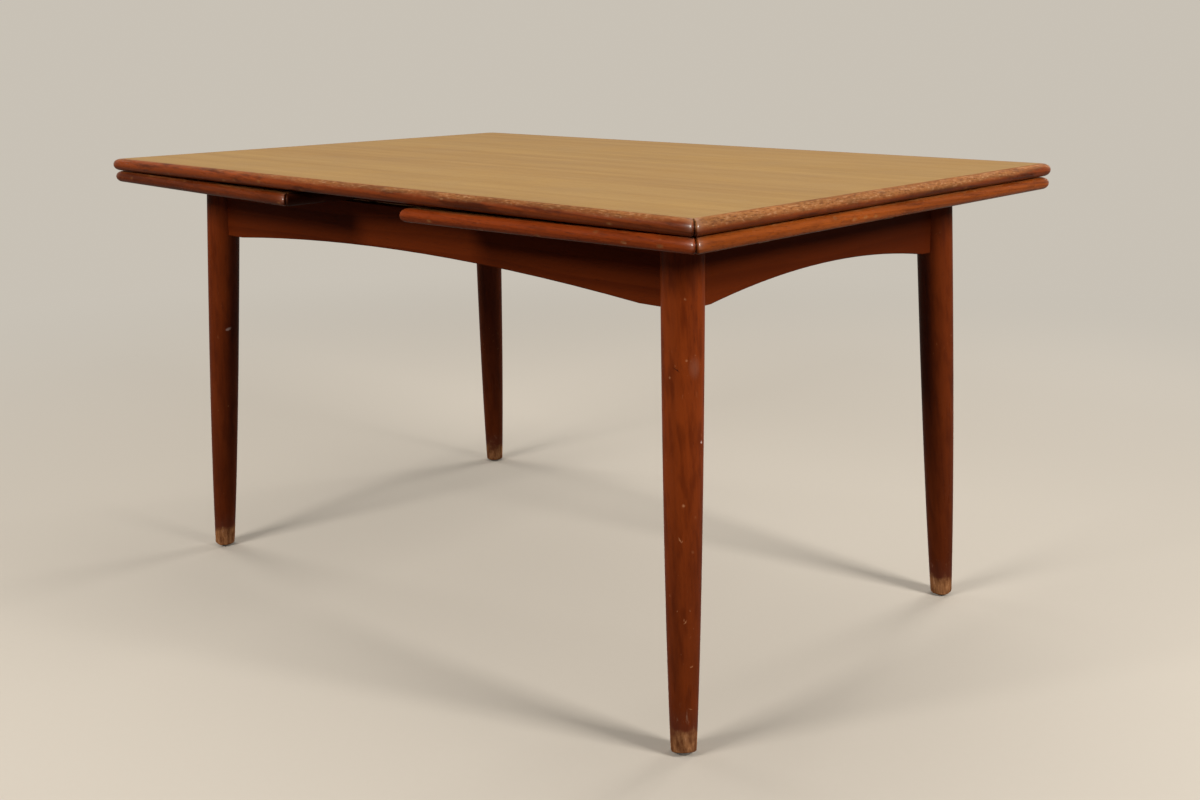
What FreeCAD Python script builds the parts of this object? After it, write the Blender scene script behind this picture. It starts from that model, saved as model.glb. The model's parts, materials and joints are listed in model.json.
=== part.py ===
import FreeCAD, Part
import math
import os

V = FreeCAD.Vector
X_AXIS = V(1, 0, 0)
Y_AXIS = V(0, 1, 0)
Z_AXIS = V(0, 0, 1)

# Driving dimensions in millimetres: +X to the right leaf, -Y to the front, +Z up, floor at Z = 0

# Main top, a loose board over the whole table
HEIGHT = 735.0
TOP_LENGTH = 1320.0
TOP_WIDTH = 912.0
TOP_THICK = 20.0

# Draw leaves, stowed under the top with their inner ends a little lower than their outer ends
LEAF_THICK = 19.0
LEAF_SIDE_INSET = 3.0
LEAF_OUTER_GAP = 1.2
LEAF_INNER_GAP = 7.2
LEAF_DRAWN_GAP = 2.0

# Rounded solid lippings round the top and both leaves, mitred at the corners
LIPPING_DEPTH = 14.0
MITRE_EASE = 2.5

# Legs, round, tapered and splayed both ways, with their axes set in from the edges of the top
LEG_HEAD_INSET_X = 130.7
LEG_HEAD_INSET_Y = 139.0
LEG_FOOT_INSET_X = 90.6
LEG_FOOT_INSET_Y = 102.6
LEG_HEAD_RADIUS = 28.5
LEG_FOOT_RADIUS = 17.4
LEG_HEIGHT_SHARES = (0.0, 0.10, 0.28, 0.51, 0.73, 1.0)
LEG_SWELL_SHARES = (0.0, 0.225, 0.514, 0.757, 0.90, 1.0)
FOOT_EASE = 2.0

# Nail glides under the legs
GLIDE_RADIUS = 10.0
GLIDE_HEIGHT = 3.5
GLIDE_EASE = 2.2
GLIDE_NAIL_RADIUS = 1.5
GLIDE_NAIL_LENGTH = 14.0

# Rails between the legs, arched below and tenoned into the legs
RAIL_THICK = 21.0
RAIL_DEPTH = 87.0
RAIL_FACE_OUT = 8.6
RAIL_LEAF_CLEARANCE = 2.8
RAIL_EASE = 1.5
SIDE_ARCH_START = 66.8
END_ARCH_START = 51.3
ARCH_RISE = 21.0
TENON_THICK = 10.0
TENON_HEIGHT = 56.0
TENON_SHY = 8.0
GLUE_GAP = 0.1

# Bearers under the leaves, side by side, and the pegs that stop them
BEARER_WIDTH = 24.0
BEARER_DEPTH = 27.0
BEARER_RAIL_INSET = 87.0
BEARER_PITCH = 60.0
BEARER_PROUD = 2.0
BEARER_RUN_CLEARANCE = 0.4
BEARER_SIDE_CLEARANCE = 0.6
BEARER_HEADROOM = 1.2
STOP_PEG_DIAMETER = 10.0
STOP_PEG_DROP = 10.0
STOP_PEG_SINK = 18.0
STOP_TAIL = 17.0
STOP_CLEARANCE = 0.5
STOP_PASS_CLEARANCE = 1.5
BEARER_SCREW_COUNT = 3
BEARER_SCREW_INSET = 45.0
BEARER_SCREW_SEAT = 20.0

# Two cross rails that guide the bearers and carry the centre board
CROSS_RAIL_INSET = 22.0
CROSS_RAIL_THICK = 20.0
CROSS_RAIL_DEPTH = 68.0
CROSS_TENON_LENGTH = 12.0
CROSS_TENON_THICK = 10.0
CROSS_TENON_HEIGHT = 36.0

# Fixed centre board between the stowed leaves
BOARD_LENGTH = 264.0
BOARD_LEAF_CLEARANCE = 2.0
BOARD_SETBACK = 6.0
BOARD_SCREW_SHARE = 0.72

# Corner blocks behind the legs
BLOCK_ARM = 65.0
BLOCK_HEIGHT = 45.0
BLOCK_DROP = 14.0
BLOCK_LEG_GAP = 0.5
BLOCK_SCREW_OFFSET = 38.0
BLOCK_SCREW_SEAT = 19.0

# Guide pegs of the main top, with cross pins that keep it from lifting off
PEG_DIAMETER = 16.0
PEG_PLACE_SHARE = 0.5
PEG_SINK = 12.0
PEG_HOLE_CLEARANCE = 0.5
PEG_TAIL = 9.0
PIN_DIAMETER = 5.0
PIN_LENGTH = 32.0
LIFT_TRAVEL = 23.0
LIFT_CLEARANCE = 1.5

# Felt pads under the top, over the outer ends of the leaves
FELT_LENGTH = 70.0
FELT_WIDTH = 18.0
FELT_INSET = 40.0
FELT_SIDE_INSET = 156.0
FELT_CLEARANCE = 0.3

# Slotted countersunk wood screws
SCREW_SHANK = 4.5
SCREW_HEAD = 8.6
SCREW_HEAD_HEIGHT = 2.6
SCREW_LENGTH = 30.0
SCREW_TIP = 4.0
SLOT_WIDTH = 1.1
SLOT_DEPTH = 1.0
HOLE_CLEARANCE = 0.15

# Length by which every cutting shape passes the faces that it cuts
OVERRUN = 6.0

# Levels and places that follow from the sizes above
TOP_UNDER = HEIGHT - TOP_THICK
HALF_LENGTH = TOP_LENGTH / 2
HALF_WIDTH = TOP_WIDTH / 2
LEAF_COVER = HALF_LENGTH - BOARD_LENGTH / 2 - BOARD_LEAF_CLEARANCE
LEAF_ANGLE = math.atan((LEAF_INNER_GAP - LEAF_OUTER_GAP) / LEAF_COVER)
LEAF_LENGTH = LEAF_COVER / math.cos(LEAF_ANGLE)
LEAF_WIDTH = TOP_WIDTH - 2 * LEAF_SIDE_INSET
LEAF_TRAVEL = (LEAF_COVER + LEAF_DRAWN_GAP) / math.cos(LEAF_ANGLE)
RAIL_TOP = TOP_UNDER - LEAF_INNER_GAP - LEAF_THICK - RAIL_LEAF_CLEARANCE
RAIL_LOW = RAIL_TOP - RAIL_DEPTH
RAIL_MIDDLE = (RAIL_TOP + RAIL_LOW) / 2
BOARD_UNDER = TOP_UNDER - LEAF_INNER_GAP - LEAF_THICK + BEARER_HEADROOM
CROSS_RAIL_X = BOARD_LENGTH / 2 - CROSS_RAIL_INSET
CORNERS = {"front_left": (-1, -1), "front_right": (1, -1), "back_right": (1, 1), "back_left": (-1, 1)}


def block(x_range, y_range, z_range):
    """Box between two places along each axis."""
    size = [high - low for low, high in (x_range, y_range, z_range)]
    return Part.makeBox(*size, V(x_range[0], y_range[0], z_range[0]))


def about(middle, width):
    """Range of one width about a middle."""
    return (middle - width / 2, middle + width / 2)


def placed(shape, placement):
    """Copy of a shape, moved and turned by a placement."""
    copy = shape.copy()
    copy.Placement = placement.multiply(copy.Placement)
    return copy


def turned(angle):
    """Placement that turns about the vertical axis through the origin."""
    return FreeCAD.Placement(V(), FreeCAD.Rotation(Z_AXIS, angle))


def leaf_placement(side):
    """Placement of a leaf, whose own origin is the middle of its upper outer edge."""
    tilt = FreeCAD.Rotation(Y_AXIS, -math.degrees(LEAF_ANGLE))
    seat = FreeCAD.Placement(V(HALF_LENGTH, 0, TOP_UNDER - LEAF_OUTER_GAP), tilt)
    return seat if side == "right" else turned(180).multiply(seat)


def screw_profile(length, spread):
    """Half outline of a countersunk screw that points down, widened all round by a spread."""
    shank = SCREW_SHANK / 2 + spread
    head = SCREW_HEAD / 2 + spread
    return [V(), V(head, 0, 0), V(shank, 0, -SCREW_HEAD_HEIGHT), V(shank, 0, SCREW_TIP - length - spread),
            V(0, 0, -length - spread), V()]


def spun(points):
    """Solid of revolution about the Z axis from a closed outline in the XZ plane."""
    return Part.Face(Part.makePolygon(points)).revolve(V(), Z_AXIS, 360)


def screw():
    """Slotted countersunk screw with its head in the plane Z = 0."""
    body = spun(screw_profile(SCREW_LENGTH, 0))
    slot = block(about(0, SCREW_HEAD + OVERRUN), about(0, SLOT_WIDTH), (-SLOT_DEPTH, OVERRUN))
    return body.cut(slot)


def screw_hole(sink):
    """Hole for a screw, opened to a sink above the head."""
    bore = Part.makeCylinder(SCREW_HEAD / 2 + HOLE_CLEARANCE, sink)
    return spun(screw_profile(SCREW_LENGTH, HOLE_CLEARANCE)).fuse(bore)


def pointing(place, direction):
    """Placement of a screw at a place, driven along a direction."""
    return FreeCAD.Placement(place, FreeCAD.Rotation(-Z_AXIS, direction))


def lipping(length, thick):
    """Lipping strip along X with its glued face at Y = 0, its nose towards -Y and its upper face at Z = 0."""
    radius = thick / 2
    nose = radius - LIPPING_DEPTH
    half = length / 2
    corners = [V(-half, 0, 0), V(-half, nose, 0), V(-half, nose, -thick), V(-half, 0, -thick)]
    arc = Part.Arc(corners[1], V(-half, -LIPPING_DEPTH, -radius), corners[2]).toShape()
    edges = [Part.makeLine(corners[0], corners[1]), arc, Part.makeLine(corners[2], corners[3]),
             Part.makeLine(corners[3], corners[0])]
    strip = Part.Face(Part.Wire(edges)).extrude(V(length, 0, 0))
    back = half - LIPPING_DEPTH
    plan = [V(-half, -LIPPING_DEPTH, 0), V(half, -LIPPING_DEPTH, 0), V(back, 0, 0), V(-back, 0, 0)]
    plan.append(plan[0])
    prism = Part.Face(Part.makePolygon(plan)).extrude(V(0, 0, -thick))
    mitred = strip.common(prism)
    tips = [edge for edge in mitred.Edges if edge.Curve.TypeId == "Part::GeomEllipse"]
    return mitred.makeFillet(MITRE_EASE, tips)


def edged_board(length, width, thick, sides):
    """Panel and its four lippings about the origin, upper face at Z = 0, sides named from -Y through +X."""
    core_length = length - 2 * LIPPING_DEPTH
    core_width = width - 2 * LIPPING_DEPTH
    pieces = {"panel": block(about(0, core_length), about(0, core_width), (-thick, 0))}
    for quarter, side in enumerate(sides):
        run, across = (width, core_length) if quarter % 2 else (length, core_width)
        seat = FreeCAD.Placement(V(0, -across / 2, 0), FreeCAD.Rotation())
        pieces["lipping_" + side] = placed(lipping(run, thick), turned(90 * quarter).multiply(seat))
    return pieces


def bearer_channel(side, y, depth):
    """Space swept by a bearer and a little more, open upward through the leaf."""
    run = (-2 * HALF_LENGTH, OVERRUN)
    width = BEARER_WIDTH + 2 * BEARER_SIDE_CLEARANCE
    return placed(block(run, about(y, width), (-LEAF_THICK - depth, 0)), leaf_placement(side))


def bearer_lines(side):
    """Places across the table of one leaf's two bearers, the right leaf's inside the left leaf's."""
    y = rail_faces()[1] - RAIL_THICK - BEARER_RAIL_INSET
    if side == "right":
        y -= BEARER_PITCH
    return (-y, y)


def peg_lines():
    """Places across the table of the top's guide pegs, between its right bearers."""
    y = bearer_lines("right")[1] * PEG_PLACE_SHARE
    return (-y, y)


def stop_place():
    """Place along a leaf, from its outer edge, of the pegs that meet the near cross rail when it is drawn."""
    face = CROSS_RAIL_X - CROSS_RAIL_THICK / 2 - STOP_PEG_DIAMETER / 2 - STOP_CLEARANCE
    drop = LEAF_THICK + BEARER_DEPTH + STOP_PEG_DROP / 2
    return (face - HALF_LENGTH - drop * math.sin(LEAF_ANGLE)) / math.cos(LEAF_ANGLE) - LEAF_TRAVEL


def leaf(side):
    """Pieces of one draw leaf in their stowed place."""
    shift = FreeCAD.Placement(V(-LEAF_LENGTH / 2, 0, 0), FreeCAD.Rotation())
    near, far = ("front", "back") if side == "right" else ("back", "front")
    board = edged_board(LEAF_LENGTH, LEAF_WIDTH, LEAF_THICK, (near, "outer", far, "inner"))
    pieces = {name: placed(shape, shift) for name, shape in board.items()}
    stop_x = stop_place()
    outer_x = rail_faces()[0] + BEARER_PROUD - HALF_LENGTH
    low = -LEAF_THICK - BEARER_DEPTH
    head_level = -LEAF_THICK - BEARER_SCREW_SEAT
    first_screw = outer_x - BEARER_SCREW_INSET
    screw_pitch = (LEAF_LENGTH - BEARER_SCREW_INSET + first_screw) / (BEARER_SCREW_COUNT - 1)
    screws = []
    pegs = []
    for name, y in zip((near, far), bearer_lines(side)):
        bearer = block((stop_x - STOP_TAIL, outer_x), about(y, BEARER_WIDTH), (low, -LEAF_THICK))
        foot = V(stop_x, y, low - STOP_PEG_DROP)
        pegs.append(Part.makeCylinder(STOP_PEG_DIAMETER / 2, STOP_PEG_DROP + STOP_PEG_SINK, foot))
        socket = Part.makeCylinder(STOP_PEG_DIAMETER / 2 + GLUE_GAP, STOP_PEG_SINK + OVERRUN,
                                   V(stop_x, y, low - OVERRUN))
        bearer = bearer.cut(socket)
        for index in range(BEARER_SCREW_COUNT):
            seat = pointing(V(first_screw - screw_pitch * index, y, head_level), Z_AXIS)
            hole = placed(screw_hole(BEARER_DEPTH), seat)
            screws.append(placed(screw(), seat))
            bearer = bearer.cut(hole)
            pieces["panel"] = pieces["panel"].cut(hole)
        pieces["bearer_" + name] = bearer
    pieces["bearer_screws"] = Part.makeCompound(screws)
    pieces["stop_pegs"] = Part.makeCompound(pegs)
    stowed = leaf_placement(side)
    return {side + "_leaf_" + name: placed(shape, stowed) for name, shape in pieces.items()}


def main_top():
    """Pieces of the loose main top: edged board, guide pegs with cross pins, felt pads."""
    lift = FreeCAD.Placement(V(0, 0, HEIGHT), FreeCAD.Rotation())
    board = edged_board(TOP_LENGTH, TOP_WIDTH, TOP_THICK, ("front", "right", "back", "left"))
    pieces = {"top_" + name: placed(shape, lift) for name, shape in board.items()}
    pin_level = BOARD_UNDER - LIFT_TRAVEL - LIFT_CLEARANCE - PIN_DIAMETER / 2
    peg_foot = pin_level - PEG_TAIL
    pins = []
    for name, y in zip(("front", "back"), peg_lines()):
        socket = Part.makeCylinder(PEG_DIAMETER / 2 + GLUE_GAP, PEG_SINK + OVERRUN,
                                   V(0, y, TOP_UNDER - OVERRUN))
        pieces["top_panel"] = pieces["top_panel"].cut(socket)
        peg = Part.makeCylinder(PEG_DIAMETER / 2, TOP_UNDER + PEG_SINK - peg_foot, V(0, y, peg_foot))
        pin_end = V(-PIN_LENGTH / 2, y, pin_level)
        pins.append(Part.makeCylinder(PIN_DIAMETER / 2, PIN_LENGTH, pin_end, X_AXIS))
        bore = Part.makeCylinder(PIN_DIAMETER / 2 + GLUE_GAP, PIN_LENGTH, pin_end, X_AXIS)
        pieces["top_guide_peg_" + name] = peg.cut(bore)
    pieces["top_peg_pins"] = Part.makeCompound(pins)
    nearest = FELT_INSET - FELT_WIDTH / 2
    felt_thick = LEAF_OUTER_GAP + nearest * math.tan(LEAF_ANGLE) - FELT_CLEARANCE
    pads = []
    for side_x, side_y in CORNERS.values():
        pads.append(block(about(side_x * (HALF_LENGTH - FELT_INSET), FELT_WIDTH),
                          about(side_y * (HALF_WIDTH - FELT_SIDE_INSET), FELT_LENGTH),
                          (TOP_UNDER - felt_thick, TOP_UNDER)))
    pieces["top_felt_pads"] = Part.makeCompound(pads)
    return pieces


def leg_axis(level):
    """Place of the leg axis in the quarter where X and Y are positive, at one level."""
    share = level / RAIL_TOP
    inset_x = LEG_FOOT_INSET_X + (LEG_HEAD_INSET_X - LEG_FOOT_INSET_X) * share
    inset_y = LEG_FOOT_INSET_Y + (LEG_HEAD_INSET_Y - LEG_FOOT_INSET_Y) * share
    return V(HALF_LENGTH - inset_x, HALF_WIDTH - inset_y, level)


def leg_blank(spread):
    """Tapered round of a leg on its splayed axis, widened all round by a spread."""
    foot, head = leg_axis(0), leg_axis(RAIL_TOP)
    length = foot.distanceToPoint(head)
    swell = LEG_HEAD_RADIUS - LEG_FOOT_RADIUS
    points = [V(LEG_FOOT_RADIUS + swell * wide + spread, 0, length * up)
              for up, wide in zip(LEG_HEIGHT_SHARES, LEG_SWELL_SHARES)]
    curve = Part.BSplineCurve()
    curve.interpolate(points)
    crown = V(points[-1].x, 0, length + OVERRUN)
    outline = [curve.toShape(), Part.makeLine(points[-1], crown), Part.makeLine(crown, V(0, 0, crown.z)),
               Part.makeLine(V(0, 0, crown.z), V()), Part.makeLine(V(), points[0])]
    blank = Part.Face(Part.Wire(outline)).revolve(V(), Z_AXIS, 360)
    return placed(blank, FreeCAD.Placement(foot, FreeCAD.Rotation(Z_AXIS, head - foot)))


def mirrored(shape, signs):
    """Copy of a shape from the positive quarter into the quarter with the given signs."""
    copy = shape
    for sign, axis in zip(signs, (X_AXIS, Y_AXIS)):
        if sign < 0:
            copy = copy.mirror(V(), axis)
    return copy


def rail_faces():
    """Outer faces of the end rails along X and of the side rails along Y."""
    axis = leg_axis(RAIL_MIDDLE)
    return axis.x + RAIL_FACE_OUT, axis.y + RAIL_FACE_OUT


def rail_tenons():
    """Tenons of a side rail and an end rail that enter the leg of the positive quarter."""
    face_x, face_y = rail_faces()
    axis = leg_axis(RAIL_MIDDLE)
    middle_x, middle_y = face_x - RAIL_THICK / 2, face_y - RAIL_THICK / 2
    root = LEG_HEAD_RADIUS + OVERRUN
    height = about(RAIL_MIDDLE, TENON_HEIGHT)
    side = block((axis.x - root, axis.x - TENON_SHY), about(middle_y, TENON_THICK), height)
    end = block(about(middle_x, TENON_THICK), (axis.y - root, axis.y - TENON_SHY), height)
    return side, end


def grown(shape, gap):
    """Box round an upright box shape, larger by a gap on every side."""
    box = shape.BoundBox
    return block((box.XMin - gap, box.XMax + gap), (box.YMin - gap, box.YMax + gap),
                 (box.ZMin - gap, box.ZMax + gap))


def leg():
    """Leg of the positive quarter, cut level at its head and foot, with its mortises and glide hole."""
    foot_cut = block((0, HALF_LENGTH), (0, HALF_WIDTH), (-OVERRUN, GLIDE_HEIGHT))
    head_cut = block((0, HALF_LENGTH), (0, HALF_WIDTH), (RAIL_TOP, RAIL_TOP + 2 * OVERRUN))
    body = leg_blank(0).cut(foot_cut).cut(head_cut)
    rims = [edge for edge in body.Edges if edge.BoundBox.ZMax < GLIDE_HEIGHT + FOOT_EASE]
    body = body.makeFillet(FOOT_EASE, rims)
    for shape in rail_tenons():
        body = body.cut(grown(shape, GLUE_GAP))
    nail_hole = Part.makeCylinder(GLIDE_NAIL_RADIUS + GLUE_GAP, GLIDE_NAIL_LENGTH + GLUE_GAP,
                                  leg_axis(GLIDE_HEIGHT))
    return body.cut(nail_hole)


def glide():
    """Nail glide of the positive quarter, a rounded cap on a nail."""
    cap = Part.makeCylinder(GLIDE_RADIUS, GLIDE_HEIGHT)
    rim = [edge for edge in cap.Edges if edge.BoundBox.ZMax < GLIDE_HEIGHT / 2]
    cap = cap.makeFillet(GLIDE_EASE, rim)
    nail = Part.makeCylinder(GLIDE_NAIL_RADIUS, GLIDE_HEIGHT + GLIDE_NAIL_LENGTH)
    centre = leg_axis(GLIDE_HEIGHT)
    return placed(cap.fuse(nail), FreeCAD.Placement(V(centre.x, centre.y, 0), FreeCAD.Rotation()))


def arched_rail(half, arch_start):
    """Rail blank along X about the origin in Y, arched from a start inside each end."""
    start = -RAIL_THICK / 2
    arch_half = half - arch_start
    ends = [V(-half, start, RAIL_LOW), V(-half, start, RAIL_TOP), V(half, start, RAIL_TOP),
            V(half, start, RAIL_LOW), V(arch_half, start, RAIL_LOW), V(-arch_half, start, RAIL_LOW)]
    edges = [Part.makeLine(ends[i], ends[i + 1]) for i in range(len(ends) - 2)]
    edges.append(Part.Arc(ends[4], V(0, start, RAIL_LOW + ARCH_RISE), ends[5]).toShape())
    edges.append(Part.makeLine(ends[5], ends[0]))
    blank = Part.Face(Part.Wire(edges)).extrude(V(0, RAIL_THICK, 0))
    arrises = [edge for edge in blank.Edges if edge.Curve.TypeId == "Part::GeomCircle"]
    return blank.makeFillet(RAIL_EASE, arrises)


def with_tenons(blank, ends):
    """Rail shouldered against both of its legs, with its tenons."""
    envelope = leg_blank(GLUE_GAP)
    rail = blank
    for shape, signs in ends:
        rail = rail.cut(mirrored(envelope, signs)).fuse(mirrored(shape, signs))
    return rail.removeSplitter()


def side_rails():
    """Front and back rails, mortised for the cross rails and drilled for the corner blocks."""
    face_y = rail_faces()[1]
    blank = arched_rail(leg_axis(RAIL_MIDDLE).x, SIDE_ARCH_START)
    pieces = {}
    for name, sign in (("front", -1), ("back", 1)):
        seat = FreeCAD.Placement(V(0, sign * (face_y - RAIL_THICK / 2), 0), FreeCAD.Rotation())
        rail = with_tenons(placed(blank, seat), [(rail_tenons()[0], (end, sign)) for end in (-1, 1)])
        for cross in cross_tenons(sign):
            rail = rail.cut(grown(cross, GLUE_GAP))
        for seat in block_screws()[0::2]:
            hole = mirrored(placed(screw_hole(OVERRUN), seat), (1, sign))
            rail = rail.cut(hole).cut(hole.mirror(V(), X_AXIS))
        pieces["side_rail_" + name] = rail
    return pieces


def end_rails():
    """Left and right rails, notched for their leaf's bearers and drilled for the corner blocks."""
    face_x = rail_faces()[0]
    blank = placed(arched_rail(leg_axis(RAIL_MIDDLE).y, END_ARCH_START), turned(90))
    pieces = {}
    for name, sign in (("left", -1), ("right", 1)):
        seat = FreeCAD.Placement(V(sign * (face_x - RAIL_THICK / 2), 0, 0), FreeCAD.Rotation())
        rail = with_tenons(placed(blank, seat), [(rail_tenons()[1], (sign, end)) for end in (-1, 1)])
        for y in bearer_lines(name):
            rail = rail.cut(bearer_channel(name, y, BEARER_DEPTH + BEARER_RUN_CLEARANCE))
        for seat in block_screws()[1::2]:
            hole = mirrored(placed(screw_hole(OVERRUN), seat), (sign, 1))
            rail = rail.cut(hole).cut(hole.mirror(V(), Y_AXIS))
        pieces["end_rail_" + name] = rail
    return pieces


def cross_tenons(sign):
    """Tenons of both cross rails into one side rail."""
    inner = rail_faces()[1] - RAIL_THICK
    ends = sorted((sign * (inner - OVERRUN), sign * (inner + CROSS_TENON_LENGTH)))
    level = about(BOARD_UNDER - CROSS_RAIL_DEPTH / 2, CROSS_TENON_HEIGHT)
    return [block(about(x, CROSS_TENON_THICK), ends, level) for x in (-CROSS_RAIL_X, CROSS_RAIL_X)]


def cross_rails():
    """Cross rails, notched closely for the near leaf's bearers and deeper for the far leaf's stop pegs."""
    inner = rail_faces()[1] - RAIL_THICK
    pieces = {}
    for index, (name, sign) in enumerate((("left", -1), ("right", 1))):
        rail = block(about(sign * CROSS_RAIL_X, CROSS_RAIL_THICK), (-inner, inner),
                     (BOARD_UNDER - CROSS_RAIL_DEPTH, BOARD_UNDER))
        for end in (-1, 1):
            rail = rail.fuse(cross_tenons(end)[index])
        for side in ("left", "right"):
            near = side == name
            extra = BEARER_RUN_CLEARANCE if near else STOP_PEG_DROP + STOP_PASS_CLEARANCE
            for y in bearer_lines(side):
                rail = rail.cut(bearer_channel(side, y, BEARER_DEPTH + extra))
        for seat in board_screws():
            rail = rail.cut(placed(screw_hole(OVERRUN), seat))
        pieces["cross_rail_" + name] = rail.removeSplitter()
    return pieces


def board_screws():
    """Placements of the screws that hold the centre board down on the cross rails."""
    inner = bearer_lines("right")[1] * BOARD_SCREW_SHARE
    outer = (bearer_lines("left")[1] + rail_faces()[1] - RAIL_THICK) / 2
    return [pointing(V(x, y, TOP_UNDER), -Z_AXIS) for x in (-CROSS_RAIL_X, CROSS_RAIL_X)
            for y in (-outer, -inner, inner, outer)]


def centre_board():
    """Fixed board between the stowed leaves, bored for the guide pegs and screws."""
    half_width = rail_faces()[1] - BOARD_SETBACK
    board = block(about(0, BOARD_LENGTH), (-half_width, half_width), (BOARD_UNDER, TOP_UNDER))
    bore_length = TOP_UNDER - BOARD_UNDER + 2 * OVERRUN
    for y in peg_lines():
        bore_foot = V(0, y, BOARD_UNDER - OVERRUN)
        board = board.cut(Part.makeCylinder(PEG_DIAMETER / 2 + PEG_HOLE_CLEARANCE, bore_length, bore_foot))
    for seat in board_screws():
        board = board.cut(placed(screw_hole(OVERRUN), seat))
    screws = [placed(screw(), seat) for seat in board_screws()]
    return {"centre_board": board, "centre_board_screws": Part.makeCompound(screws)}


def block_screws():
    """Placements in the positive quarter of a corner block's screws, into the side rail and the end rail."""
    face_x, face_y = rail_faces()
    inner_x, inner_y = face_x - RAIL_THICK, face_y - RAIL_THICK
    level = RAIL_TOP - BLOCK_DROP - BLOCK_HEIGHT / 2
    into_side = V(inner_x - BLOCK_SCREW_OFFSET, inner_y - BLOCK_SCREW_SEAT, level)
    into_end = V(inner_x - BLOCK_SCREW_SEAT, inner_y - BLOCK_SCREW_OFFSET, level)
    return [pointing(into_side, Y_AXIS), pointing(into_end, X_AXIS)]


def corner_block():
    """Corner block of the positive quarter, glued and screwed to both rails behind the leg."""
    face_x, face_y = rail_faces()
    inner_x, inner_y = face_x - RAIL_THICK, face_y - RAIL_THICK
    low = RAIL_TOP - BLOCK_DROP - BLOCK_HEIGHT
    corner = V(inner_x, inner_y, low)
    plan = [corner, corner - X_AXIS * BLOCK_ARM, corner - Y_AXIS * BLOCK_ARM, corner]
    body = Part.Face(Part.makePolygon(plan)).extrude(V(0, 0, BLOCK_HEIGHT))
    body = body.cut(leg_blank(BLOCK_LEG_GAP))
    for seat in block_screws():
        body = body.cut(placed(screw_hole(BLOCK_ARM), seat))
    return body


def quarter_pieces():
    """Legs, glides, corner blocks and their screws, one set for each corner."""
    pieces = {}
    screws = []
    shapes = {"leg": leg(), "glide": glide(), "corner_block": corner_block()}
    for corner, signs in CORNERS.items():
        for name, shape in shapes.items():
            pieces[name + "_" + corner] = mirrored(shape, signs)
        screws += [mirrored(placed(screw(), seat), signs) for seat in block_screws()]
    pieces["corner_block_screws"] = Part.makeCompound(screws)
    return pieces


def table():
    """Every piece of the table by name."""
    pieces = {}
    for group in (main_top(), leaf("left"), leaf("right"), quarter_pieces(), side_rails(), end_rails(),
                  cross_rails(), centre_board()):
        pieces.update(group)
    return pieces


os.makedirs("parts", exist_ok=True)
for node, shape in sorted(table().items()):
    print(node, "solids", len(shape.Solids), "valid", shape.isValid(), "volume", round(shape.Volume))
    shape.exportStep("parts/" + node + ".step")
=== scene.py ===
"""Looks of a draw leaf table, in metres: teak finishes, turned legs, rounded lippings, slotted screws."""
import json
import math

import bmesh
import bpy
import numpy as np
from mathutils import Matrix, Quaternion, Vector

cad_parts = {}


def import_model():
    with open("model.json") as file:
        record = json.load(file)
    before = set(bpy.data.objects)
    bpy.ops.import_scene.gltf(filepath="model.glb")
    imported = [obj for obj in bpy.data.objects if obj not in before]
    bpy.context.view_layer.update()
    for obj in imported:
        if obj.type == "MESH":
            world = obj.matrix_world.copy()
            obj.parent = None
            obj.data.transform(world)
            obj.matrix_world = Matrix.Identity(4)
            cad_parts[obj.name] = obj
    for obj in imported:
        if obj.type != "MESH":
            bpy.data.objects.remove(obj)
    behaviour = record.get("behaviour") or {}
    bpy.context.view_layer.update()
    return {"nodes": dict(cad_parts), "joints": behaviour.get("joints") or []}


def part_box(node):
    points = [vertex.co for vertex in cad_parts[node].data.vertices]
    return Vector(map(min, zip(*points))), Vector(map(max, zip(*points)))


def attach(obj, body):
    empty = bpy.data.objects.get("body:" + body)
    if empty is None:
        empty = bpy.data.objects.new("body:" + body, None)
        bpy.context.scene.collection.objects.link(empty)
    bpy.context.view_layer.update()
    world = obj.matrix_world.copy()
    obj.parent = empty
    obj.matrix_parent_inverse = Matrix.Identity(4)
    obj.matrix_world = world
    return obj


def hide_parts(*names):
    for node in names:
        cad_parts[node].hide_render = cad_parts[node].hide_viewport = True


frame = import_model()

MM = 0.001

# Camera, solved from the table's edges, legs and feet in the photograph
CAMERA_PLACE = (1.5483, -1.5692, 0.9200)
CAMERA_YAW = 42.86
CAMERA_PITCH = 15.30
CAMERA_ROLL = 0.43
CAMERA_LENS = 38.74
SENSOR_WIDTH = 36.0

# Lamps: bearing from +X, distance over the floor, height, width and height of the panel, power, colour
LAMPS = {
    "front_softbox": (-99.0, 3.1, 2.16, 1.1, 1.0, 74.0, (1.0, 0.95, 0.88)),
    "end_softbox": (7.0, 3.2, 2.10, 0.8, 1.0, 89.0, (1.0, 0.95, 0.88)),
    "back_softbox": (84.0, 3.4, 2.0, 1.3, 1.0, 46.0, (1.0, 0.96, 0.90)),
    "left_softbox": (186.0, 3.4, 2.0, 1.3, 1.0, 33.0, (1.0, 0.96, 0.90)),
    "ceiling_softbox": (135.0, 0.9, 3.3, 3.0, 3.0, 44.0, (1.0, 0.96, 0.90)),
}
LAMP_AIM = (0.0, 0.0, 0.55)
SHINING_LAMPS = ("front_softbox", "end_softbox")
BACKDROP = (0.58, 0.535, 0.465)
BACKDROP_GLOSS_SHARE = 0.46
AMBIENT = (0.037, 0.035, 0.033)

# Floor, pale to the eye and dull in the light that it throws back
FLOOR_RADIUS = 30.0
FLOOR_SIDES = 128
FLOOR_GAP = 0.1 * MM
FLOOR_COLOUR = (0.62, 0.575, 0.51)
FLOOR_SPECKLE = (0.53, 0.485, 0.42)
FLOOR_BOUNCE = (0.10, 0.092, 0.084)
FLOOR_ROUGHNESS = 0.8
FLOOR_FADE = (0.7, 3.3)
FLOOR_GLOSS_SHARE = 0.14

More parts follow.
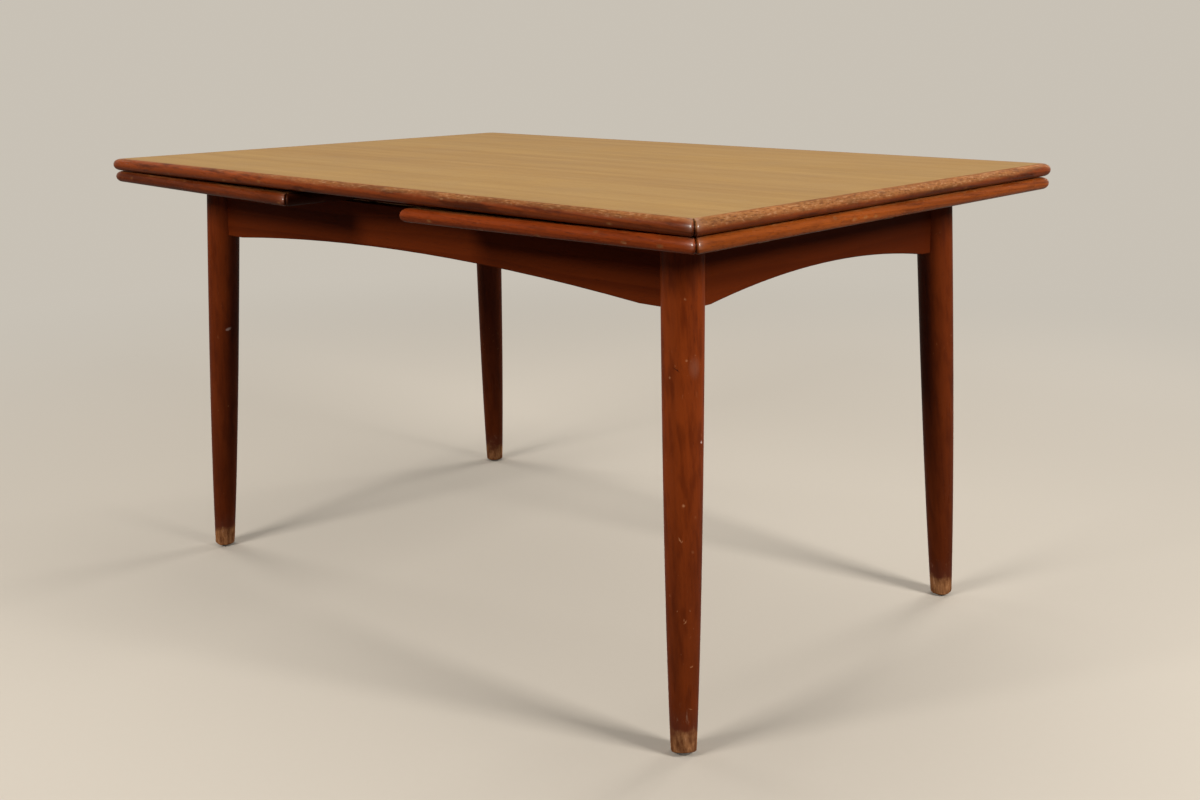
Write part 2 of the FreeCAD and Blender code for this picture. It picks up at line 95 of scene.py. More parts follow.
# Logs that the timbers are sawn from: where the pith lies, width and wander of the rings
RING_SHARE = 0.42
VENEER_LOG = {"Pith": (0.0, 2.6, 0.3), "Ring Width": 8.5 * MM, "Wander": 20 * MM}
EDGE_LOG = {"Pith": (0.0, 0.05, -0.09), "Ring Width": 4.5 * MM, "Wander": 10 * MM}
FRAME_LOG = {"Ring Width": 5.2 * MM, "Wander": 12 * MM}
BEECH_LOG = {"Pith": (0.0, 0.9, 0.5), "Ring Width": 4 * MM, "Wander": 8 * MM}
LEG_PITH = (0.0, 0.055, 0.025)
RAIL_PITH = (0.0, 0.06, 0.55)
LEG_RING_SHARE = 0.22

# Grain turned to run along, across and up the table
ALONG, ACROSS, UPRIGHT = (0.0, 0.0, 0.0), (0.0, 0.0, math.pi / 2), (0.0, math.pi / 2, 0.0)

# Veneers: strips along the table, each cut further on in the log, and a duller backing underneath
VENEER_STRIP = 148.0 * MM
VENEER_START = 520.0 * MM
STRIP_SLIP = (350.0 * MM, 0.0, 4.0 * MM)
STRIP_TONE = (0.27, 0.115, 0.036)
VENEER_PORE = (0.20, 0.080, 0.020)
BACKING_TONES = ((0.30, 0.135, 0.060), (0.20, 0.080, 0.034), (0.12, 0.05, 0.02))
VENEER_GRAIN = 0.05 * MM

# Tones of the lippings
EDGE_PORE = (0.05, 0.010, 0.003)
# Dark tone of the lippings: dirt in blotches, and painted shade on the lower half of the nose
EDGE_SOIL_AND_SHADE = (0.045, 0.010, 0.004)
RUBBED_PALE = (0.42, 0.190, 0.062)
RUBBED_DARK = (0.26, 0.094, 0.026)
RUBBED_FLECK = (0.58, 0.35, 0.195)
RUBBED_GRIME = (0.11, 0.034, 0.014)
RUBBED_STAIN = (0.13, 0.042, 0.017)
# Painted highlight: pale halo round the lamp glints at the mitred corners
PAINTED_CORNER_GLINT = (0.50, 0.26, 0.165)
# Painted shade in the mitre crease
MITRE_CREASE_SHADE = (0.022, 0.007, 0.003)
EDGE_NICK = (0.50, 0.28, 0.15)
EDGE_NICK_SPACING = 21 * MM
NICK_RAGGEDNESS = 3 * MM

# Tones of the legs and rails
FRAME_TONES = ((0.245, 0.041, 0.0065), (0.112, 0.0165, 0.0028), (0.05, 0.009, 0.003))
FRAME_GRAIN = 0.12 * MM
LEG_WARM = (0.295, 0.052, 0.0080)
LEG_CURL = (0.115, 0.0165, 0.0028)
# Painted shade on the legs, deeper on the legs further from the lamps
LEG_PAINTED_SHADE = (0.040, 0.007, 0.002)
# Painted shade on the legs towards the floor
LEG_LOW_SHADE = (0.070, 0.014, 0.004)
LEG_CHIP = (0.46, 0.19, 0.085)
FOOT_BAND = (0.105, 0.030, 0.018)
FOOT_DARK = (0.15, 0.050, 0.017)
FOOT_PALE = (0.50, 0.228, 0.092)
FOOT_SCUFF = (0.62, 0.38, 0.25)
# Painted shade over the rails, laid deeper at one end than the other
RAIL_PAINTED_SHADE = (0.062, 0.010, 0.0025)
RAIL_NICK = (0.45, 0.24, 0.14)
RAIL_NICK_SPACING = 50 * MM
RAIL_REACH = 360 * MM

# Tones of the beech, steel and felt
BEECH_PALE = (0.54, 0.335, 0.185)
BEECH_DARK = (0.38, 0.205, 0.100)
BEECH_FLECK = (0.25, 0.115, 0.050)
BEECH_DIRT = (0.22, 0.14, 0.09)
BEECH_GRAIN = 0.15 * MM
RUST = (0.16, 0.09, 0.05)
STEEL_GRAIN = 0.02 * MM
FELT_DARK = (0.018, 0.040, 0.024)
FELT_PALE = (0.070, 0.120, 0.075)
FELT_WORN = (0.14, 0.15, 0.11)
FELT_NAP = 0.4 * MM

# Turned legs
LEG_FOOT_RADIUS = 17.4 * MM
LEG_HEAD_RADIUS = 28.5 * MM
LEG_HEIGHT_SHARES = (0.0, 0.10, 0.28, 0.51, 0.73, 1.0)
LEG_SWELL_SHARES = (0.0, 0.225, 0.514, 0.757, 0.90, 1.0)
LEG_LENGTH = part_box("leg_front_right")[1].z
LEG_FOOT_EASE = 2.0 * MM
LEG_SIDES = 96
LEG_RINGS = 300
LEG_RING_CROWDING = 1.6
LEG_RIM_TOLERANCE = 0.02 * MM
LEG_DENT_DEPTH = 0.4 * MM
LEG_DENT_CELLS = 30.0
LEG_DENT_SHARE = 0.45
LEG_GRAIN_LEAN = (0.050, 0.028, 0.0)
LEG_SEED, LEG_SEED_STEP = 0.4, 2.3
LEG_SEED_WAY = (1.0, 0.37, 0.71)
# Share of painted shade on each leg, more on the far legs; the keys also give the order of the corners
LEG_SHADE_SHARES = {"front_right": 0.0, "front_left": 0.33, "back_left": 0.45, "back_right": 0.40}
LEG_CORNERS = tuple(LEG_SHADE_SHARES)
FOOT_WEAR_LEVEL = 34.0 * MM
FOOT_WEAR_SPREAD = 12.0 * MM
FOOT_BAND_LEVEL = 78.0 * MM
FOOT_BEVEL = 4.0 * MM
FOOT_BEVEL_HEIGHT = 14.0 * MM
FOOT_BEVEL_START_SHARE = 0.3
# Height where the painted shade towards the floor begins
LOW_SHADE_START = 480.0 * MM

# Marks on the legs: corner, height and bearing, length, width, tilt from upright, tone and strength
PALE_MARK = (0.48, 0.20, 0.09)
WHITE_MARK = (0.62, 0.43, 0.38)
DARK_MARK = (0.02, 0.005, 0.003)
DULL_MARK = (0.30, 0.13, 0.085)
MARK_DEPTH = 4 * MM
MARK_RAGGEDNESS = 4 * MM
LEG_MARKS = (
    ("front_right", 530 * MM, -18, 38 * MM, 24 * MM, 0, DULL_MARK, 0.30),
    ("front_right", 528 * MM, -68, 14 * MM, 2.2 * MM, -60, DARK_MARK, 0.9),
    ("front_right", 517 * MM, -88, 5 * MM, 4 * MM, 0, PALE_MARK, 0.7),
    ("front_right", 617 * MM, -45, 4 * MM, 4 * MM, 0, PALE_MARK, 0.6),
    ("front_right", 540 * MM, -41, 4 * MM, 4 * MM, 0, PALE_MARK, 0.6),
    ("front_right", 432 * MM, 10, 6.5 * MM, 4.5 * MM, 0, WHITE_MARK, 0.95),
    ("front_right", 352 * MM, -50, 6 * MM, 5.5 * MM, 30, PALE_MARK, 0.95),
    ("front_right", 306 * MM, -61, 11 * MM, 2.6 * MM, -25, PALE_MARK, 0.95),
    ("front_right", 304 * MM, -54, 6 * MM, 2.2 * MM, 20, PALE_MARK, 0.8),
    ("front_right", 194 * MM, -45, 9 * MM, 2.6 * MM, 40, PALE_MARK, 0.9),
    ("front_right", 131 * MM, -21, 6 * MM, 3.4 * MM, 80, PALE_MARK, 0.9),
    ("front_right", 71 * MM, -23, 9 * MM, 2.6 * MM, -65, PALE_MARK, 0.75),
    ("front_left", 428 * MM, -14, 15 * MM, 7 * MM, 70, WHITE_MARK, 0.85),
)

# Lippings, with the sides of each board in order round it and how far the oil is rubbed off each
LIPPING_WEAR = {
    "top": {"front": 0.28, "right": 0.92, "back": 0.30, "left": 0.35},
    "right": {"front": -0.25, "outer": -0.1, "back": -0.25, "inner": -0.4},
    "left": {"back": -0.25, "outer": -0.15, "front": -0.25, "inner": -0.4},
}
MITRE_EASE = 2.7 * MM
LIPPING_GRAIN_LEAN = (0.0, 0.03, 0.05)
GLUED_EASE_SHARE = 0.12
NOSE_STEPS = 30
FLAT_STEPS = 4
EASE_STEPS = 9
LIPPING_STEP = 3.0 * MM
GRAIN_BOARD_STEP, GRAIN_SIDE_STEP = 3.1, 0.83
WEAR_SIDE_STEP = 1.7
RUB_DEPTH = 0.28 * MM
EDGE_DENT_CELLS = (40.0, 70.0, 70.0)
EDGE_DENT_SHARE = 0.4
POLISH_REACH = 5.0 * MM

# Where wear fades along a lipping, as a drop between two shares of its length, and the shine of its ends
WEAR_FADES = {"top_lipping_right": (0.6, 0.30, 0.46), "top_lipping_front": (0.42, -0.05, -0.36)}
NO_FADE = (0.0, 0.30, 0.46)
END_SHINE = {"right_leaf_lipping_front": (0.1, 1.0)}
FULL_SHINE = (1.0, 1.0)

# Inner timbers and felt
ARRIS_EASE = 1.2 * MM
ARRIS_LEAST = 9.0 * MM
ARRIS_STEPS = 2
ARRIS_ANGLE = math.radians(40)
FLAT_ANGLE = math.radians(0.3)
WELD_DISTANCE = 0.004 * MM
FELT_ROWS = 14
FELT_COLUMNS = 4 * FELT_ROWS
FELT_CORNER = 4.0 * MM
FELT_FLUFF = 0.12 * MM
FELT_RAGGED_SHARE = 0.012
FELT_RIM_SHARE = 0.999
FELT_SEED = 7
LEAST_LENGTH = 1e-9

# Screws
SCREW_SHANK = 4.5 * MM
SCREW_HEAD = 8.6 * MM
SCREW_HEAD_HEIGHT = 2.6 * MM
SCREW_LENGTH = 30.0 * MM
SCREW_TIP = 4.0 * MM
SLOT_WIDTH = 1.1 * MM
SLOT_DEPTH = 1.0 * MM
SCREW_SIDES = 28
SAME_POINT = 0.002 * MM

# Kinds of sockets
VALUE = "NodeSocketFloat"
VECTOR = "NodeSocketVector"
GEOMETRY = "NodeSocketGeometry"
MATERIAL = "NodeSocketMaterial"
SOCKET_KINDS = {float: VALUE, int: "NodeSocketInt", tuple: VECTOR}


# Node building
def give(tree, entry, value):
    """Feeds an input from a socket, or sets it to a value."""
    if isinstance(value, bpy.types.NodeSocket):
        tree.links.new(value, entry)
    else:
        entry.default_value = value


def add_node(tree, kind, inputs=None, **settings):
    """New node with its settings, its inputs set to values or linked from sockets."""
    node = tree.nodes.new(kind)
    for name, value in settings.items():
        setattr(node, name, value)
    for key, value in (inputs or {}).items():
        give(tree, node.inputs[key], value)
    return node


def maths(tree, operation, *values, clamp=False):
    """Result of a sum on numbers or sockets."""
    inputs = dict(enumerate(values))
    return add_node(tree, "ShaderNodeMath", inputs, operation=operation, use_clamp=clamp).outputs[0]


def times(tree, first, *others):
    """Product of numbers or sockets."""
    for other in others:
        first = maths(tree, "MULTIPLY", first, other)
    return first


def plus(tree, first, *others):
    """Total of numbers or sockets."""
    for other in others:
        first = maths(tree, "ADD", first, other)
    return first


def minus(tree, first, second, clamp=False):
    """Difference of two numbers or sockets."""
    return maths(tree, "SUBTRACT", first, second, clamp=clamp)


def vector_maths(tree, operation, *values, output="Vector"):
    """Result of a sum on vectors."""
    node = add_node(tree, "ShaderNodeVectorMath", dict(enumerate(values)), operation=operation)
    return node.outputs[output]


def scaled(tree, vector, factors):
    """Vector stretched by three factors."""
    return vector_maths(tree, "MULTIPLY", vector, factors)


def stretched(tree, vector, factor):
    """Vector stretched by one factor."""
    inputs = {0: vector, "Scale": factor}
    return add_node(tree, "ShaderNodeVectorMath", inputs, operation="SCALE").outputs["Vector"]


def length_of(tree, vector):
    """Length of a vector."""
    return vector_maths(tree, "LENGTH", vector, output="Value")


def axis_of(tree, vector, axis):
    """One of a vector's three parts."""
    return add_node(tree, "ShaderNodeSeparateXYZ", {"Vector": vector}).outputs[axis]


def vector_of(tree, **parts):
    """Vector put together from its parts."""
    return add_node(tree, "ShaderNodeCombineXYZ", parts).outputs[0]


def range_of(tree, value, low, high, start=0.0, end=1.0, way="LINEAR"):
    """Change from one number to another as a value goes from low to high, straight unless told otherwise."""
    inputs = {"Value": value, "From Min": low, "From Max": high, "To Min": start, "To Max": end}
    return add_node(tree, "ShaderNodeMapRange", inputs, interpolation_type=way).outputs[0]


def step_between(tree, value, low, high, start=0.0, end=1.0):
    """Smooth step from one number to another as a value goes from low to high."""
    return range_of(tree, value, low, high, start, end, "SMOOTHSTEP")


def noise(tree, vector, scale=1.0, detail=2.0, roughness=0.5, output=0):
    """Noise value, or colour as output 1, at a place."""
    inputs = {"Vector": vector, "Scale": scale, "Detail": detail, "Roughness": roughness}
    return add_node(tree, "ShaderNodeTexNoise", inputs).outputs[output]


def streaks(tree, place, along, across, detail=2.0, roughness=0.5):
    """Noise drawn out along the grain."""
    return noise(tree, scaled(tree, place, (along, across, across)), 1.0, detail, roughness)


def shaken(tree, place, colour, reach):
    """Place moved about by a noise colour."""
    away = vector_maths(tree, "SUBTRACT", colour, (0.5, 0.5, 0.5))
    return vector_maths(tree, "ADD", place, scaled(tree, away, (reach, reach, reach)))


def spots(tree, place, cells, share, rim, core):
    """Mask of round spots in a share of the cells of a scattered pattern."""
    split = "ShaderNodeSeparateColor" if tree.type == "SHADER" else "FunctionNodeSeparateColor"
    pattern = add_node(tree, "ShaderNodeTexVoronoi", {"Vector": place, "Scale": cells}).outputs
    chosen = add_node(tree, split, {"Color": pattern["Color"]}).outputs[0]
    spot = step_between(tree, pattern["Distance"], rim, core)
    return times(tree, spot, maths(tree, "LESS_THAN", chosen, share))


def mixed(tree, share, first, second):
    """Colour between two colours."""
    return add_node(tree, "ShaderNodeMix", {0: share, 6: first, 7: second}, data_type="RGBA").outputs[2]


def mixed_value(tree, share, first, second):
    """Number between two numbers."""
    return add_node(tree, "ShaderNodeMix", {0: share, 2: first, 3: second}).outputs[0]


def rgba(colour):
    """Colour with full cover."""
    return (*colour, 1.0)


def toned(tree, colour, tone, *masks):
    """Colour covered by a tone as far as the product of some masks."""
    return mixed(tree, times(tree, *masks), colour, rgba(tone))


def new_tree(name, kind, inputs, outputs):
    """Empty node group, its inputs given by kind or first value, and its entry and exit sockets."""
    tree = bpy.data.node_groups.new(name, kind)
    for label, value in inputs.items():
        socket = value if isinstance(value, str) else SOCKET_KINDS[type(value)]
        item = tree.interface.new_socket(label, in_out="INPUT", socket_type=socket)
        if socket != value:
            item.default_value = value
    for label, socket in outputs.items():
        tree.interface.new_socket(label, in_out="OUTPUT", socket_type=socket)
    return tree, tree.nodes.new("NodeGroupInput").outputs, tree.nodes.new("NodeGroupOutput").inputs


# Shader groups
def wood_figure_group():
    """Growth rings, streaks, fibre and pores of sawn wood, along the X axis of a place."""
    tree, given, result = new_tree(
        "Wood Figure", "ShaderNodeTree",
        {"Place": VECTOR, "Pith": VECTOR, "Ring Width": VALUE, "Ring Share": RING_SHARE, "Wander": VALUE},
        {"Figure": VALUE, "Fibre": VALUE, "Pores": VALUE})
    drift = noise(tree, scaled(tree, given["Place"], (1.3, 7.0, 7.0)), output=1)
    drift = vector_maths(tree, "SUBTRACT", drift, (0.5, 0.5, 0.5))
    drift = stretched(tree, scaled(tree, drift, (0.0, 1.0, 1.0)), given["Wander"])
    place = vector_maths(tree, "ADD", given["Place"], drift)
    out_from_pith = scaled(tree, vector_maths(tree, "SUBTRACT", place, given["Pith"]), (0.0, 1.0, 1.0))
    ring = maths(tree, "DIVIDE", length_of(tree, out_from_pith), given["Ring Width"])
    year = add_node(tree, "ShaderNodeTexWhiteNoise", {"W": maths(tree, "FLOOR", ring)},
                    noise_dimensions="1D").outputs["Value"]
    growth = maths(tree, "FRACT", ring)
    late = times(tree, step_between(tree, growth, 0.25, 0.9), step_between(tree, growth, 1.0, 0.93),
                 range_of(tree, year, 0.0, 1.0, 0.15, 1.0))
    broad = streaks(tree, place, 0.8, 42.0, 3.0, 0.55)
    fibre = streaks(tree, place, 7.0, 420.0, 3.0, 0.6)
    pores = streaks(tree, place, 75.0, 1500.0, 1.0)
    mottle = streaks(tree, place, 5.0, 26.0, 3.0, 0.6)
    figure = plus(tree, times(tree, range_of(tree, broad, 0.28, 0.72), 0.45),
                  times(tree, late, given["Ring Share"]),
                  times(tree, range_of(tree, mottle, 0.3, 0.7), 0.30),
                  times(tree, range_of(tree, fibre, 0.3, 0.7), 0.13))
    tree.links.new(minus(tree, figure, 0.14, clamp=True), result["Figure"])
    tree.links.new(fibre, result["Fibre"])
    tree.links.new(step_between(tree, pores, 0.60, 0.72), result["Pores"])
    return tree


def handling_group():
    """Sheen that varies with years of wiping and use."""
    tree, given, result = new_tree("Handling", "ShaderNodeTree",
                                   {"Place": VECTOR, "Smooth": VALUE, "Dull": VALUE}, {"Roughness": VALUE})
    smudge = noise(tree, given["Place"], 9.0, 4.0, 0.6)
    wiping = streaks(tree, given["Place"], 30.0, 260.0)
    blend = plus(tree, times(tree, smudge, 0.7), times(tree, wiping, 0.3))
    rough = range_of(tree, blend, 0.32, 0.68, given["Smooth"], given["Dull"])
    tree.links.new(rough, result["Roughness"])
    return tree


def nicks_group():
    """Scattered small knocks and short scratches."""
    tree, given, result = new_tree("Nicks", "ShaderNodeTree",
                                   {"Place": VECTOR, "Spacing": VALUE, "Size": VALUE, "Share": VALUE},
                                   {"Mask": VALUE})
    cells = maths(tree, "DIVIDE", 1.0, given["Spacing"])
    place = shaken(tree, given["Place"], noise(tree, given["Place"], 300.0, output=1), NICK_RAGGEDNESS)
    core = times(tree, given["Size"], 0.5)
    tree.links.new(spots(tree, place, cells, given["Share"], given["Size"], core), result["Mask"])
    return tree


FIGURE = wood_figure_group()
HANDLING = handling_group()
NICKS = nicks_group()


# Materials
def grouped(tree, group, inputs):
    """Outputs of a shader group placed in a material with its own values."""
    return add_node(tree, "ShaderNodeGroup", inputs, node_tree=group).outputs


def sheen(tree, place, smooth, dull):
    """Roughness of a handled surface."""
    return grouped(tree, HANDLING, {"Place": place, "Smooth": smooth, "Dull": dull})["Roughness"]


def knocks(tree, place, spacing, size, share):
    """Mask of small knocks, longer along the grain."""
    place = scaled(tree, place, (0.5, 1.0, 1.0))
    return grouped(tree, NICKS, {"Place": place, "Spacing": spacing, "Size": size, "Share": share})["Mask"]


def new_material(name):
    """Material with a bare Principled shader; gives the material, its tree and the shader."""
    material = bpy.data.materials.new(name)
    material.use_nodes = True
    tree = material.node_tree
    tree.nodes.clear()
    shader = tree.nodes.new("ShaderNodeBsdfPrincipled")
    output = tree.nodes.new("ShaderNodeOutputMaterial")
    tree.links.new(shader.outputs[0], output.inputs[0])
    return material, tree, shader


def object_place(tree, turn=ALONG):
    """Place on a piece in the table's own axes, turned so that the grain runs along X."""
    coordinates = tree.nodes.new("ShaderNodeTexCoord").outputs["Object"]
    return add_node(tree, "ShaderNodeMapping", {"Vector": coordinates, "Rotation": turn}).outputs[0]


def piece_value(tree, name, output="Fac"):
    """Value that a piece carries on its own surface."""
    return add_node(tree, "ShaderNodeAttribute", attribute_name=name).outputs[output]


def bump(tree, height, distance, strength=0.5):
    """Normal raised by a height."""
    inputs = {"Height": height, "Distance": distance, "Strength": strength}
    return add_node(tree, "ShaderNodeBump", inputs).outputs[0]


def wire(tree, shader, **inputs):
    """Feeds a shader's inputs, named with underscores for spaces."""
    for name, value in inputs.items():
        give(tree, shader.inputs[name.replace("_", " ")], value)


def wood_colour(tree, figure, pale, dark, pore, pore_share):
    """Colour of wood from its figure and pores."""
    colour = mixed(tree, figure["Figure"], rgba(pale), rgba(dark))
    return toned(tree, colour, pore, figure["Pores"], pore_share)


def veneer_material(name, pale, dark):
    """Satin teak veneer laid in strips along the table, with a dull backing underneath."""
    material, tree, shader = new_material(name)
    place = object_place(tree)
    across = plus(tree, axis_of(tree, place, "Y"), VENEER_START)
    strip = maths(tree, "FLOOR", maths(tree, "DIVIDE", across, VENEER_STRIP))
    shade = add_node(tree, "ShaderNodeTexWhiteNoise", {"W": strip}, noise_dimensions="1D").outputs["Value"]
    log_place = vector_maths(tree, "ADD", place, stretched(tree, STRIP_SLIP, strip))
    figure = grouped(tree, FIGURE, {"Place": log_place, **VENEER_LOG})
    colour = wood_colour(tree, figure, pale, dark, VENEER_PORE, 0.35)
    colour = toned(tree, colour, STRIP_TONE, range_of(tree, shade, 0.0, 1.0, 0.0, 0.10))
    facing = tree.nodes.new("ShaderNodeTexCoord").outputs["Normal"]
    under = step_between(tree, axis_of(tree, facing, "Z"), -0.4, -0.6)
    colour = mixed(tree, under, colour, wood_colour(tree, figure, *BACKING_TONES, 0.5))
    grain = minus(tree, figure["Fibre"], times(tree, figure["Pores"], 0.6))
    wire(tree, shader, Base_Color=colour, Normal=bump(tree, grain, VENEER_GRAIN, 0.4), Specular_IOR_Level=0.5,
         Roughness=mixed_value(tree, under, sheen(tree, place, 0.34, 0.43), 0.75))
    return material


def edge_material(name, pale, dark, soil, under, smooth, dull, shine=1.0):
    """Solid teak lipping, oiled, polished at its corners with a painted highlight there, and rubbed pale
    along its worn edge; painted shade darkens the lower nose and the mitre crease.
    """
    material, tree, shader = new_material(name)
    place = piece_value(tree, "grain", "Vector")
    nose = piece_value(tree, "nose")
    worn = piece_value(tree, "rub")
    crease = piece_value(tree, "crease")
    figure = grouped(tree, FIGURE, {"Place": place, **EDGE_LOG})
    colour = wood_colour(tree, figure, pale, dark, EDGE_PORE, 0.6)
    blotch = step_between(tree, streaks(tree, place, 11.0, 70.0, 4.0, 0.65), 0.48, 0.64)
    colour = toned(tree, colour, EDGE_SOIL_AND_SHADE, blotch, soil)
    # painted shade: the lower half of the nose darkened, as deep as under says
    colour = toned(tree, colour, EDGE_SOIL_AND_SHADE, step_between(tree, nose, 0.35, -0.6, 0.0, under))
    bare = mixed(tree, figure["Figure"], rgba(RUBBED_PALE), rgba(RUBBED_DARK))
    colour = mixed(tree, times(tree, worn, 0.75), colour, bare)
    fray = streaks(tree, place, 105.0, 420.0, 5.0, 0.72)
    colour = toned(tree, colour, RUBBED_FLECK, step_between(tree, fray, 0.53, 0.66), worn, 0.7)
    colour = toned(tree, colour, RUBBED_GRIME, step_between(tree, fray, 0.49, 0.37), worn, 0.8)
    stain = step_between(tree, streaks(tree, place, 16.0, 70.0, 4.0, 0.65), 0.54, 0.66)
    colour = toned(tree, colour, RUBBED_STAIN, stain, worn, 0.55)
    # Mask of the coat at the corners, which also lays on the painted highlight
    polish_and_glint = times(tree, piece_value(tree, "polish_and_glint"), step_between(tree, crease, 0.42, 0.25, 0.0, shine),
                   step_between(tree, nose, -0.5, 0.1))
    # painted highlight: pale halo round the corner glints
    colour = toned(tree, colour, PAINTED_CORNER_GLINT, polish_and_glint, 0.22)
    # painted shade: the mitre crease darkened where the ease turns in
    colour = toned(tree, colour, MITRE_CREASE_SHADE, step_between(tree, crease, 0.32, 0.68, 0.0, 0.66))
    nicks = knocks(tree, place, EDGE_NICK_SPACING, size=0.07, share=0.13)
    colour = toned(tree, colour, EDGE_NICK, nicks, 0.4)
    grain = plus(tree, minus(tree, figure["Fibre"], figure["Pores"]), times(tree, fray, worn, 2.0))
    grain = minus(tree, grain, times(tree, nicks, 1.5))
    wire(tree, shader, Base_Color=colour, Normal=bump(tree, grain, FRAME_GRAIN), Specular_IOR_Level=0.09,
         Roughness=mixed_value(tree, worn, sheen(tree, place, smooth, dull), 0.58),
         Coat_Weight=polish_and_glint, Coat_Roughness=0.30, Coat_IOR=1.9)
    return material


def frame_figure(tree, place, pith, ring_share):
    """Figure and colour of the red teak of the underframe."""
    inputs = {"Place": place, "Pith": pith, "Ring Share": ring_share, **FRAME_LOG}
    figure = grouped(tree, FIGURE, inputs)
    return figure, wood_colour(tree, figure, *FRAME_TONES, 0.5)


def leg_mark(tree, place, corner, height, bearing, length, width, tilt):
    """Mask of one knock on a leg, by its height and its bearing round the leg."""
    angle = math.radians(bearing)
    swell = float(np.interp(height / LEG_LENGTH, LEG_HEIGHT_SHARES, LEG_SWELL_SHARES))
    radius = LEG_FOOT_RADIUS + (LEG_HEAD_RADIUS - LEG_FOOT_RADIUS) * swell
    out = Vector((0.0, math.cos(angle), math.sin(angle)))
    seat = radius * out + height * Vector((1.0, LEG_GRAIN_LEAN[0], LEG_GRAIN_LEAN[1]))
    seat.x += LEG_SEED + LEG_SEED_STEP * LEG_CORNERS.index(corner)
    upright = Vector((1.0, 0.0, 0.0))
    upright.rotate(Quaternion(out, math.radians(-tilt)))
    turn = Matrix((upright, out.cross(upright), out)).transposed().to_euler()
    size = (length / 2, width / 2, MARK_DEPTH)
    inputs = {"Vector": place, "Location": seat, "Rotation": turn, "Scale": size}
    local = add_node(tree, "ShaderNodeMapping", inputs, vector_type="TEXTURE").outputs[0]
    return step_between(tree, length_of(tree, local), 1.0, 0.15)


def leg_material():
    """Red teak of the turned legs, with knocks and pale, bare feet, and painted shade: deeper on the far legs
    and towards the floor.
    """
    material, tree, shader = new_material("teak_leg")
    place = piece_value(tree, "grain", "Vector")
    figure, colour = frame_figure(tree, place, LEG_PITH, LEG_RING_SHARE)
    warmth = range_of(tree, streaks(tree, place, 7.0, 30.0, 3.0, 0.6), 0.40, 0.62, 0.0, 0.60)
    colour = toned(tree, colour, LEG_WARM, warmth)
    curl = step_between(tree, streaks(tree, place, 20.0, 95.0), 0.46, 0.72, 0.0, 0.60)
    colour = toned(tree, colour, LEG_CURL, curl)
    # painted shade, by the leg's own share
    colour = toned(tree, colour, LEG_PAINTED_SHADE, piece_value(tree, "tone"))
    level = axis_of(tree, object_place(tree), "Z")
    edge = noise(tree, place, 42.0, 5.0, 0.62)
    ragged = plus(tree, level, range_of(tree, edge, 0.3, 0.7, -FOOT_WEAR_SPREAD, FOOT_WEAR_SPREAD))
    bare = step_between(tree, ragged, FOOT_WEAR_LEVEL + FOOT_WEAR_SPREAD, FOOT_WEAR_LEVEL - FOOT_WEAR_SPREAD)
    band = step_between(tree, ragged, FOOT_BAND_LEVEL, FOOT_WEAR_LEVEL)
    # painted shade: the leg darker towards the floor
    colour = toned(tree, colour, LEG_LOW_SHADE, step_between(tree, level, LOW_SHADE_START, FOOT_BAND_LEVEL), 0.35)
    colour = toned(tree, colour, FOOT_BAND, band, 0.55)
    scuff = streaks(tree, place, 40.0, 150.0, 5.0, 0.66)
    bare_wood = mixed(tree, range_of(tree, scuff, 0.36, 0.64), rgba(FOOT_DARK), rgba(FOOT_PALE))
    colour = mixed(tree, times(tree, bare, 0.9), colour, bare_wood)
    colour = toned(tree, colour, FOOT_SCUFF, step_between(tree, scuff, 0.60, 0.72), band, 0.45)
    crowd = step_between(tree, noise(tree, place, 9.0, 1.0), 0.50, 0.66)
    chips = times(tree, step_between(tree, streaks(tree, place, 150.0, 330.0, 3.0), 0.68, 0.74), crowd)
    dents = times(tree, piece_value(tree, "dent"), 0.6)
    colour = toned(tree, colour, LEG_CHIP, maths(tree, "MAXIMUM", dents, chips), 0.5)
    mark_place = shaken(tree, place, noise(tree, place, 420.0, 3.0, 0.65, output=1), MARK_RAGGEDNESS)
    for *mark, tone, strength in LEG_MARKS:
        colour = toned(tree, colour, tone, leg_mark(tree, mark_place, *mark), strength)
    grain = minus(tree, minus(tree, figure["Fibre"], figure["Pores"]), times(tree, chips, 2.0))
    wire(tree, shader, Base_Color=colour, Normal=bump(tree, grain, FRAME_GRAIN), Specular_IOR_Level=0.09,
         Roughness=mixed_value(tree, bare, sheen(tree, place, 0.24, 0.40), 0.72))
    return material


def rail_material(name, turn, pith, far_shade, near_shade):
    """Red teak, or beech stained like it, grain along the piece, with painted shade deepening its tone by a
    share at each end.
    """
    material, tree, shader = new_material(name)
    place = object_place(tree, turn)
    figure, colour = frame_figure(tree, place, pith, RING_SHARE)
    # painted shade along the piece, from far_shade at one end to near_shade at the other
    depth = range_of(tree, axis_of(tree, place, "X"), -RAIL_REACH, RAIL_REACH, far_shade, near_shade)
    colour = toned(tree, colour, RAIL_PAINTED_SHADE, depth)
    nicks = knocks(tree, place, RAIL_NICK_SPACING, size=0.04, share=0.25)
    colour = toned(tree, colour, RAIL_NICK, nicks, 0.4)
    grain = minus(tree, figure["Fibre"], figure["Pores"])
    wire(tree, shader, Base_Color=colour, Normal=bump(tree, grain, FRAME_GRAIN), Specular_IOR_Level=0.03,
         Roughness=sheen(tree, place, 0.32, 0.48))
    return material


